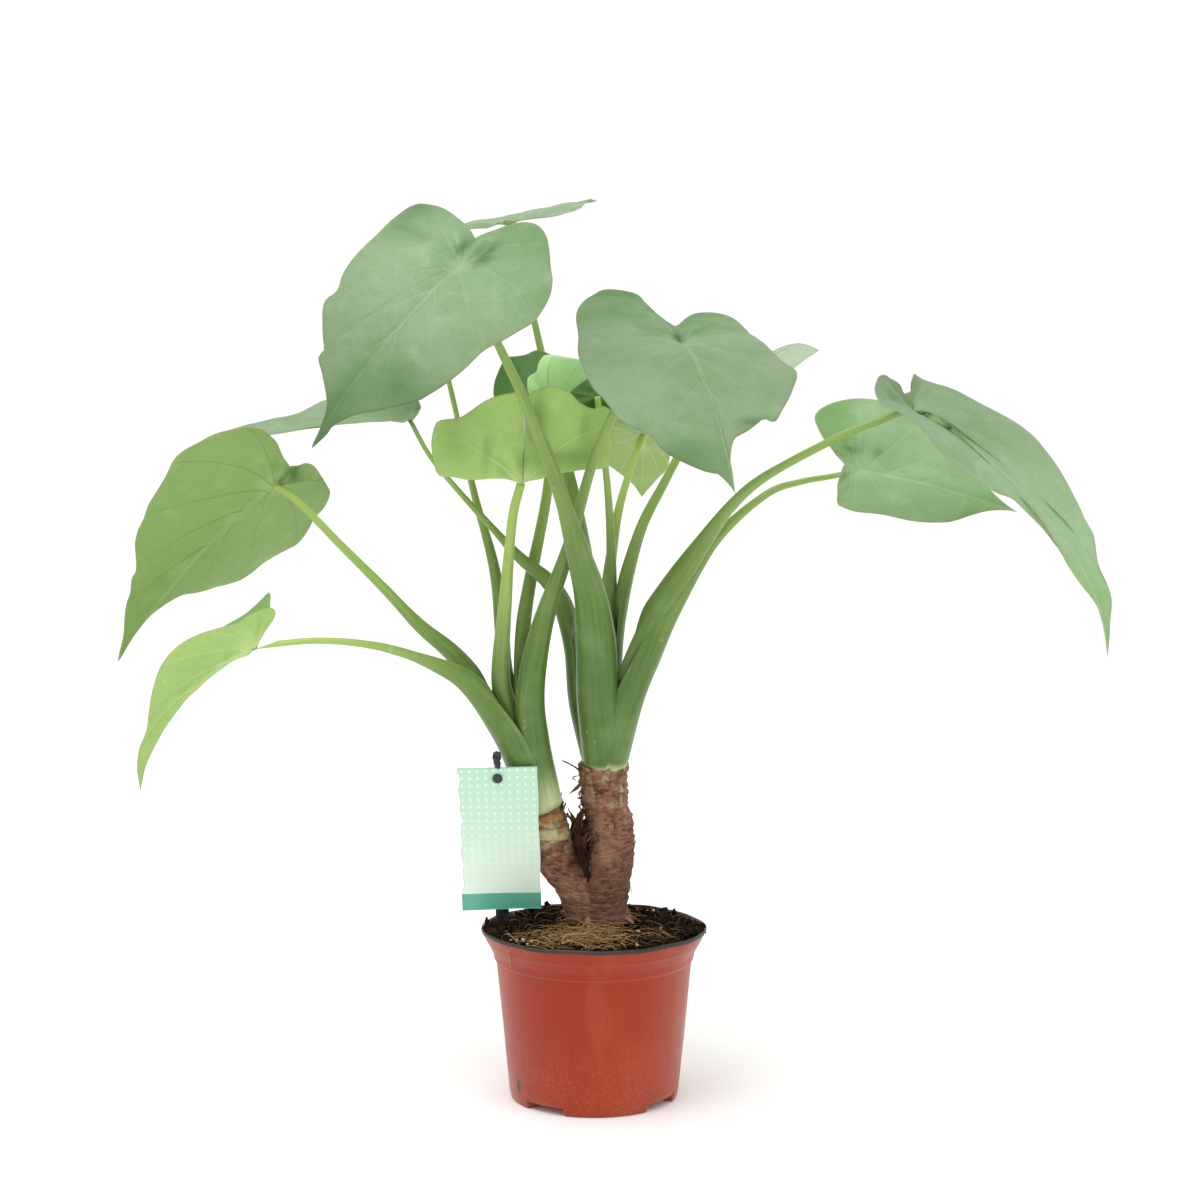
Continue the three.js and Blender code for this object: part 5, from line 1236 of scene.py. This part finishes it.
def clumps(draw):
    """Crumbs and clumps over the mix, with more of them at the rim's left and right."""
    radius = MIX_EDGE_R * draw.uniform(0.12, 1, CLUMPS) ** 0.5 - 1.2
    turn = draw.uniform(0, 2 * np.pi, CLUMPS)
    x, y = radius * np.cos(turn), radius * np.sin(turn)
    size = draw.uniform(0.35, 1, (CLUMPS, 3))
    size = size * draw.choice([0.6, 1.0, 1.6, 2.4], (CLUMPS, 1), p=[0.42, 0.36, 0.17, 0.05])
    z = heap(x, y) + 1.0 + size.mean(axis=1) * draw.uniform(0, 0.9, CLUMPS)
    left = np.arange(RIM_CLUMPS) < LEFT_RIM_CLUMPS
    turn = np.where(left, draw.normal(rad(194), 0.2, RIM_CLUMPS), draw.normal(rad(-3), 0.12, RIM_CLUMPS))
    radius = draw.uniform(55, 63, RIM_CLUMPS)
    x = np.concatenate([x, radius * np.cos(turn)])
    y = np.concatenate([y, radius * np.sin(turn)])
    z = np.concatenate([z, 98.4 + draw.uniform(0, 2.2, RIM_CLUMPS) * np.where(left, 1.3, 0.7)])
    size = np.vstack([size, draw.uniform(0.5, 1.9, (RIM_CLUMPS, 3))])
    points, faces, owner = lumps(np.stack([x, y, z], axis=1), size, 75, 6, 6, 0.42)
    tone = draw.uniform(0, 1, CLUMPS + RIM_CLUMPS)[owner] ** 1.6
    look = fibre_look("clump", (0.004, 0.0025, 0.0015), (0.06, 0.031, 0.013), 0.95)
    add_piece("mix_clumps", points, faces, [look], values={"tone": tone})


def growing_mix():
    mix_bed()
    draw = np.random.default_rng(73)
    clumps(draw)
    coir(draw)
    grains(draw)
    root_stubs(draw)


def coir(draw):
    """Coir fibres that lie in loose arcs over the mix, thickest in front, and one that hangs over the rim."""
    paths, radii, tones = [], [], []
    steps = 13
    t = np.linspace(-0.5, 0.5, steps)
    for number in range(COIR):
        front = number < FRONT_COIR
        if front:
            x, y = draw.normal(-7, 14), draw.normal(-30, 11)
        else:
            turn, r = draw.uniform(0, 2 * np.pi), MIX_EDGE_R * draw.uniform(0.2, 0.95)
            x, y = r * math.cos(turn), r * math.sin(turn)
        way = draw.normal(0.15, 0.8) if front else draw.uniform(0, 2 * np.pi)
        long = draw.uniform(9, 34) if front else draw.uniform(6, 22)
        turn = way + draw.normal(0, 1.4) * t
        px = x + long * np.cumsum(np.cos(turn)) / steps - long * np.cos(way) / 2
        py = y + long * np.cumsum(np.sin(turn)) / steps - long * np.sin(way) / 2
        pull = np.minimum(1, (MIX_EDGE_R - 0.8) / np.maximum(np.hypot(px, py), 1))
        px, py = px * pull, py * pull
        arch = draw.uniform(0.4, 4.2) * (1 if front else 0.6)
        pz = heap(px, py) + 0.9 + arch * np.cos(np.pi * t) + draw.uniform(0, 1.2)
        paths.append(np.stack([px, py, pz], axis=1))
        radii.append(draw.uniform(0.1, 0.3))
        tones.append(draw.uniform(0.25, 1) if front else draw.uniform(0, 0.55))
    t = np.linspace(0, 1, 16)
    down = np.stack([mix(-44.5, -52.2, t ** 0.8), mix(-45.5, -33.5, t) - 0.6, 99.2 - 19 * t ** 1.35], axis=1)
    clear = 0.35 + np.interp(down[:, 2], [BAND_Z, FLARE_Z, LIP_FOOT_Z, RIM_Z - 2, RIM_Z + 1],
                             [BODY_TOP_R, BODY_TOP_R + 2, LIP_FOOT_R + 0.6, RIM_R + 0.4, RIM_R - 1])
    down[:, :2] *= (clear / np.hypot(down[:, 0], down[:, 1]))[:, None]
    paths.append(down)
    radii.append(0.22)
    tones.append(1.0)
    points, faces, owner = tubes(paths, radii, 4)
    look = fibre_look("coir", (0.06, 0.026, 0.009), (0.6, 0.36, 0.15), 0.6)
    add_piece("mix_coir", points, faces, [look], values={"tone": np.array(tones)[owner]})


def grains(draw):
    """White mineral grains, most of them at the left edge."""
    rest = GRAINS - LEFT_GRAINS
    turn = np.concatenate([draw.normal(rad(218), 0.22, LEFT_GRAINS), draw.uniform(0, 2 * np.pi, rest)])
    radius = np.concatenate([draw.uniform(51, 58, LEFT_GRAINS), MIX_EDGE_R * draw.uniform(0.3, 0.98, rest)])
    x, y = radius * np.cos(turn), radius * np.sin(turn)
    size = draw.uniform(0.4, 1.0, (GRAINS, 3))
    points, faces, owner = lumps(np.stack([x, y, heap(x, y) + 2.0], axis=1), size, 91)
    tone = draw.uniform(0.4, 1, GRAINS)[owner]
    look = fibre_look("mineral_grain", (0.4, 0.34, 0.27), (0.8, 0.77, 0.7), 0.8)
    add_piece("mix_grains", points, faces, [look], values={"tone": tone})


def root_stubs(draw):
    """Short thick root stubs where the trunk meets the mix."""
    paths, radii, tones = [], [], []
    for number in range(STUBS):
        turn = draw.uniform(-2.4, 0.4) if number < FRONT_STUBS else draw.uniform(0, 2 * np.pi)
        outward = np.array([math.cos(turn), math.sin(turn), 0.0])
        base = np.array([2, 12, draw.uniform(99, 106)]) + outward * 15.5
        t = np.linspace(0, 1, 9)[:, None]
        long = draw.uniform(5, 12)
        sway = np.cross(outward, [0, 0, 1]) * draw.normal() * 2
        fall = np.array([0, 0, -1]) * long * 0.55 * t ** 1.6
        paths.append(base + outward * long * t + sway * t ** 2 + fall)
        radii.append(draw.uniform(0.9, 2.1))
        tones.append(draw.uniform(0.3, 1))
    points, faces, owner = tubes(paths, radii, 9)
    points = points + unit(points - (2, 12, 100)) * (0.4 * grit(points, 3.4, 96, 2))[:, None]
    look = fibre_look("root", (0.12, 0.05, 0.03), (0.38, 0.21, 0.14), 0.75)
    add_piece("trunk_roots", points, faces, [look], values={"tone": np.array(tones)[owner]})


def step_height(angle):
    """The height of the pot's underside near its edge: raised over each drain step."""
    period = 2 * np.pi / DRAIN_STEPS
    off = (angle - rad(DRAIN_FIRST) + 2.5 * period) % period - period / 2
    return STEP_H * smooth((rad(DRAIN_HALF) - np.abs(off)) / rad(1.6) + 0.5)


def body_radius(z):
    """The outer radius of the pot's tapered body at height z."""
    return mix(TOE_R, BODY_TOP_R, (z - TOE_Z) / (BAND_Z - TOE_Z))


def rounded(points, radius):
    """A profile with its inner corners rounded, each by a curve of a few steps."""
    steps = 5
    points = [np.array(p, float) for p in points]
    out = [points[0]]
    for before, here, after in zip(points, points[1:], points[2:]):
        back = before - here
        on = after - here
        cut = min(radius, 0.45 * np.linalg.norm(back), 0.45 * np.linalg.norm(on))
        a = here + unit(back) * cut
        b = here + unit(on) * cut
        for t in np.linspace(0, 1, steps + 1):
            out.append(a * (1 - t) ** 2 + 2 * here * t * (1 - t) + b * t ** 2)
    out.append(points[-1])
    return np.array(out)


def pot_profile(rise):
    """The pot's profile as radius and height: up the outside, over the lip and down the inside."""
    band = BODY_TOP_R + BAND_STEP + BAND_SPREAD
    inner_z = TOE_Z + FLOOR + rise
    return rounded([
        (0, 0), (FLOOR_R, 0), (FLOOR_R + STEP_RUN, rise), (FOOT_R, rise),
        (body_radius(TOE_Z + rise / 2), TOE_Z + rise / 2), (body_radius(40), 40), (BODY_TOP_R, BAND_Z),
        (BODY_TOP_R + BAND_STEP, BAND_Z + 0.9), (band, FLARE_Z), (LIP_FOOT_R - 0.3, LIP_FOOT_Z - 1.2),
        (LIP_FOOT_R + 0.6, LIP_FOOT_Z), (RIM_R - 0.5, RIM_Z - DARK_LIP), (RIM_R, RIM_Z - DARK_LIP + 0.7),
        (RIM_R, RIM_Z - 0.8), (RIM_R - 1.1, RIM_Z), (RIM_R - 2.4, RIM_Z - 1),
        (LIP_FOOT_R - WALL, LIP_FOOT_Z), (band - WALL, FLARE_Z), (BODY_TOP_R - WALL, BAND_Z),
        (body_radius(inner_z) - WALL, inner_z), (FOOT_R - WALL, FLOOR + rise),
        (FLOOR_R + STEP_RUN, FLOOR + rise), (FLOOR_R, FLOOR), (0, FLOOR),
    ], 0.8)


def pot():
    """The thin pot: a little uneven, its lip raised in front and wavy, dark from the lip inward."""
    columns = []
    for angle in np.arange(POT_SIDES) * 2 * np.pi / POT_SIDES:
        radius, z = pot_profile(float(step_height(angle))).T
        columns.append(np.stack([radius * math.cos(angle), radius * math.sin(angle), z], axis=1))
    rows = np.array(columns).transpose(1, 0, 2)
    inner = rows[1:-1]
    flat = inner.reshape(-1, 3)
    reach = np.hypot(flat[:, 0], flat[:, 1])
    turn = np.arctan2(flat[:, 1], flat[:, 0])
    side = smooth((flat[:, 2] - 8) / 20) * smooth((RIM_Z - 4 - flat[:, 2]) / 6) * (reach > 40)
    uneven = 0.12 * np.sin(5 * turn + flat[:, 2] / 23) + 0.08 * np.sin(11 * turn - flat[:, 2] / 9)
    flat = flat * np.stack([1 + side * uneven / np.maximum(reach, 1)] * 2 + [np.ones(len(flat))], axis=1)
    raised = np.clip((flat[:, 2] - LIP_FOOT_Z) / (RIM_Z - LIP_FOOT_Z), 0, 1) * (reach > 56)
    flat[:, 2] += LIP_RISE * (0.5 - 0.5 * np.sin(turn)) * raised
    lip = 0.25 * np.sin(7 * turn + 1) + 0.18 * np.sin(13 * turn)
    flat[:, 2] += np.where(flat[:, 2] > RIM_Z - DARK_LIP + 1, lip, 0)
    points = np.vstack([flat, [(0, 0, 0), (0, 0, FLOOR)]])
    last = (len(inner) - 1) * POT_SIDES
    faces = [ring_faces(len(inner), POT_SIDES), fan_faces(len(flat), 0, POT_SIDES, True),
             fan_faces(len(flat) + 1, last, POT_SIDES)]
    lip_row = int(np.argmax(rows[:, 0, 2] >= RIM_Z - DARK_LIP - 0.05)) - 1
    ring_kind = (np.arange(len(inner) - 1) >= lip_row).astype(int)
    kinds = np.concatenate([np.repeat(ring_kind, POT_SIDES), np.zeros(POT_SIDES), np.ones(POT_SIDES)])
    add_piece("pot_shell", points, faces, [pot_outside(), pot_inside()], ("pot",), kinds)


def pot_outside():
    """Terracotta plastic with faint streaks, dust at its foot, a few specks and scratches and one stain."""
    tree = Tree("terracotta_plastic")
    cloud = tree.noise(14, 3, 0.5)
    fine = tree.noise(600, 3, 0.6)
    place = tree.place()
    streak = tree.noise(1.0, 4, 0.6, tree.stretch(place, 60, 60, 9))
    color = tree.blend(tree.span(cloud, 0.35, 0.7), (0.28, 0.024, 0.004), (0.325, 0.038, 0.009))
    color = tree.blend(tree.span(streak, 0.5, 0.8, 0, 0.2), color, (0.42, 0.12, 0.07))
    height = tree.add("ShaderNodeSeparateXYZ", Vector=place).outputs[2]
    dust = tree.math("MULTIPLY", tree.span(height, 0.075, 0.0, 0.0, 0.18), tree.span(fine, 0.4, 0.8))
    color = tree.blend(dust, color, (0.5, 0.24, 0.16))
    specks = tree.span(tree.cells(170), 0.05, 0.02)
    some = tree.span(tree.noise(45, 1), 0.58, 0.62)
    specks = tree.math("MULTIPLY", specks, tree.math("MULTIPLY", some, 0.6))
    color = tree.blend(specks, color, (0.16, 0.05, 0.025))
    x, y, z = STAIN_AT
    stain = tree.away(tree.stretch(place, 1, 1, STAIN_SQUASH), (x * MM, y * MM, z * MM * STAIN_SQUASH))
    color = tree.blend(tree.span(stain, 0.0016, 0.003, 0.95, 0), color, (0.05, 0.012, 0.004))
    scratch = tree.span(tree.noise(1.0, 2, 0.5, tree.stretch(place, 30, 30, 420)), 0.71, 0.75, 0, 0.15)
    color = tree.blend(scratch, color, (0.5, 0.2, 0.13))
    bumps = tree.math("ADD", tree.math("MULTIPLY", fine, 0.35), tree.math("ADD", cloud, streak))
    normal = tree.bump(bumps, 0.0004, 0.35)
    rough = tree.span(tree.noise(30, 4, 0.6), 0.3, 0.7, 0.34, 0.5)
    return tree.done(tree.surface(color, rough, normal, Specular_IOR_Level=0.12, Sheen_Weight=0.2,
                                  Sheen_Roughness=0.55))


def pot_inside():
    """The pot's dark inner layer, which also makes its lip."""
    tree = Tree("dark_plastic_layer")
    cloud = tree.noise(40, 4, 0.6)
    fine = tree.noise(500, 3, 0.6)
    color = tree.blend(tree.span(cloud, 0.35, 0.7), (0.02, 0.014, 0.011), (0.042, 0.031, 0.026))
    dust = tree.span(fine, 0.62, 0.78, 0, 0.3)
    color = tree.blend(dust, color, (0.3, 0.22, 0.16))
    normal = tree.bump(fine, 0.0003, 0.4)
    rough = tree.span(cloud, 0.3, 0.7, 0.36, 0.5)
    return tree.done(tree.surface(color, rough, normal, Specular_IOR_Level=0.28))


def label_place(points):
    """Moves points from the label's own frame into the plant's."""
    lean, roll = rad(LABEL_LEAN), rad(LABEL_ROLL)
    tilt = np.array([[1, 0, 0], [0, math.cos(lean), -math.sin(lean)], [0, math.sin(lean), math.cos(lean)]])
    turn = np.array([[math.cos(roll), 0, math.sin(roll)], [0, 1, 0], [-math.sin(roll), 0, math.cos(roll)]])
    return points @ (tilt @ turn).T + np.array(LABEL_FOOT)


def label_card():
    """The card: thin, a little curled, its left edge crinkled, with a round hole for the button's peg."""
    columns, rows = 56, 110
    s = np.linspace(-0.5, 0.5, columns)
    t = np.linspace(0, 1, rows)
    x, z = np.meshgrid(s * CARD_W, CARD_LOW + t * CARD_H)
    down = 1 - (z - CARD_LOW) / CARD_H
    left = np.clip(-x / CARD_W * 2, 0, 1) ** 3
    right = np.clip(x / CARD_W * 2, 0, 1) ** 3
    crinkle = 0.35 * np.sin(z / 2.1) + 0.3 * np.sin(z / 5.3 + 1) + 0.15 * np.sin(z / 0.9)
    away = smooth((z - CARD_LOW - CARD_BAND) / 4) * smooth((CARD_LOW + CARD_H - z) / 8)
    x = x + left * away * (0.9 + crinkle) + 0.25 * right * np.sin(z / 6) * away
    z = z + 0.35 * (x / CARD_W) * down
    y = 0.35 * np.sin(x / 9 + z / 17) + 0.25 * left * crinkle - 0.2 * np.cos(z / 21)
    y = y * smooth(np.hypot(x, z - BUTTON_UP) / 16)
    front = np.stack([x, y - CARD_THICK / 2, z], axis=-1).reshape(-1, 3)
    back = np.stack([x, y + CARD_THICK / 2, z], axis=-1).reshape(-1, 3)
    away_from_peg = np.hypot(front[:, 0], front[:, 2] - BUTTON_UP)
    near = away_from_peg < PEG_CLEAR
    cell = ring_faces(rows, columns, closed=False)
    kept = cell[~near[cell].all(axis=1)]
    size = len(front)
    edges = np.vstack([kept[:, [i, (i + 1) % 4]] for i in range(4)])
    forward = {tuple(edge) for edge in edges.tolist()}
    border = np.array([edge for edge in forward if (edge[1], edge[0]) not in forward])
    walls = np.stack([border[:, 0], border[:, 0] + size, border[:, 1] + size, border[:, 1]], axis=1)
    faces = [kept, kept[:, ::-1] + size, walls[:, ::-1]]
    used = np.unique(kept)
    index = np.full(2 * size, -1)
    index[np.concatenate([used, used + size])] = np.arange(2 * len(used))
    points = np.vstack([front, back])[np.concatenate([used, used + size])]
    faces = [index[block] for block in faces]
    values = {"card": np.stack([points[:, 0], points[:, 2] - CARD_LOW, points[:, 1]], axis=1)}
    add_piece("label_card_fine", label_place(points), faces, [card_look()], ("label_card",),
              values=values)


def label_stake():
    """The stake's rough knob, and black plastic for it and for the solids of the stake and the button."""
    tree = Tree("black_plastic")
    fine = tree.noise(420, 4, 0.6)
    color = tree.blend(tree.span(fine, 0.4, 0.7), (0.012, 0.014, 0.018), (0.04, 0.048, 0.058))
    normal = tree.bump(tree.math("ADD", fine, tree.noise(160, 2)), 0.0006, 0.6)
    black = tree.done(tree.surface(color, 0.42, normal, Specular_IOR_Level=0.5))
    middle = (0, 0, CARD_LOW + CARD_H + KNOB_UP)
    knob, knob_faces, _ = lumps([middle], [(2.9, 1.9, 3.8)], 47, 22, 30, 0)
    dents = 0.5 * grit(knob, 3.2, 49, 3)
    knob = knob + unit(knob - middle) * dents[:, None]
    add_piece("label_knob", label_place(knob), knob_faces, [black])
    for name in ("label_stake", "label_button"):
        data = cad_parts[name].data
        data.materials.clear()
        data.materials.append(black)


def card_look():
    """Mint card, paler downward, with a field of pale dots and a plain dark band at its foot."""
    tree = Tree("mint_card")
    across, up, _ = tree.parts("card")
    cloud = tree.noise(55, 3, 0.5)
    mint = tree.blend(tree.span(up, 0, CARD_H, 0, 1), (0.72, 0.84, 0.7), (0.45, 0.69, 0.5))
    column = tree.math("MULTIPLY", across, DOTS_PER_MM)
    row = tree.math("MULTIPLY", up, DOTS_PER_MM)
    point = tree.add("ShaderNodeCombineXYZ", X=column, Y=row, Z=0.0).outputs[0]
    cell = tree.add("ShaderNodeVectorMath", {"operation": "FRACTION"})
    tree.set(cell.inputs[0], point)
    dots = tree.span(tree.away(cell.outputs[0], (0.5, 0.5, 0)), 0.16, 0.2, 0.75, 0)
    mint = tree.blend(dots, mint, (0.76, 0.86, 0.75))
    band = tree.span(up, CARD_BAND - 0.15, CARD_BAND + 0.15, 1, 0)
    mint = tree.blend(band, mint, (0.1, 0.4, 0.28))
    mint = tree.blend(tree.span(cloud, 0.4, 0.7, 0, 0.08), mint, (0.4, 0.6, 0.45))
    normal = tree.bump(tree.noise(900, 2), 0.0001, 0.3)
    return tree.done(tree.surface(mint, 0.4, normal, Specular_IOR_Level=0.5))


def set_up(data, place, aim):
    """The object of a camera or a light, at its place and turned to its aim."""
    made = bpy.data.objects.new(data.name, data)
    made.location = place
    x, y, z = np.array(aim) - np.array(place)
    made.rotation_euler = (math.atan2(np.hypot(x, y), -z), 0, math.atan2(-x, y))
    bpy.context.scene.collection.objects.link(made)
    return made


def camera():
    data = bpy.data.cameras.new("camera")
    data.lens = LENS
    data.sensor_width = 36
    data.clip_end = 50
    bpy.context.scene.camera = set_up(data, CAMERA_AT, CAMERA_AIM)


def studio():
    """A white floor and a white world with a large key light above and a weak fill from the right."""
    tree = Tree("floor_white")
    speck = tree.noise(9, 2)
    tree.done(tree.surface(tree.blend(speck, (0.95, 0.95, 0.95), (0.97, 0.97, 0.97)), 0.7))
    mesh = bpy.data.meshes.new("floor")
    corners = [(x * STUDIO_REACH, y * STUDIO_REACH, 0) for x, y in ((-1, -1), (1, -1), (1, 1), (-1, 1))]
    mesh.from_pydata(corners, [], [(0, 1, 2, 3)])
    mesh.materials.append(tree.material)
    floor = bpy.data.objects.new("floor", mesh)
    floor.location.z = -0.0002
    bpy.context.scene.collection.objects.link(floor)
    world = bpy.data.worlds.new("studio")
    world.use_nodes = True
    background = world.node_tree.nodes["Background"]
    background.inputs["Color"].default_value = (1, 1, 1, 1)
    background.inputs["Strength"].default_value = WORLD_STRENGTH
    bpy.context.scene.world = world
    for name, (place, width, watts) in LIGHTS.items():
        data = bpy.data.lights.new(name, "AREA")
        data.shape = "DISK"
        data.size = width
        data.energy = watts
        set_up(data, place, LIGHT_AIM)
    bpy.context.scene.view_settings.view_transform = "Standard"


camera()
studio()
leaves()
trunk()
growing_mix()
pot()
label_card()
label_stake()
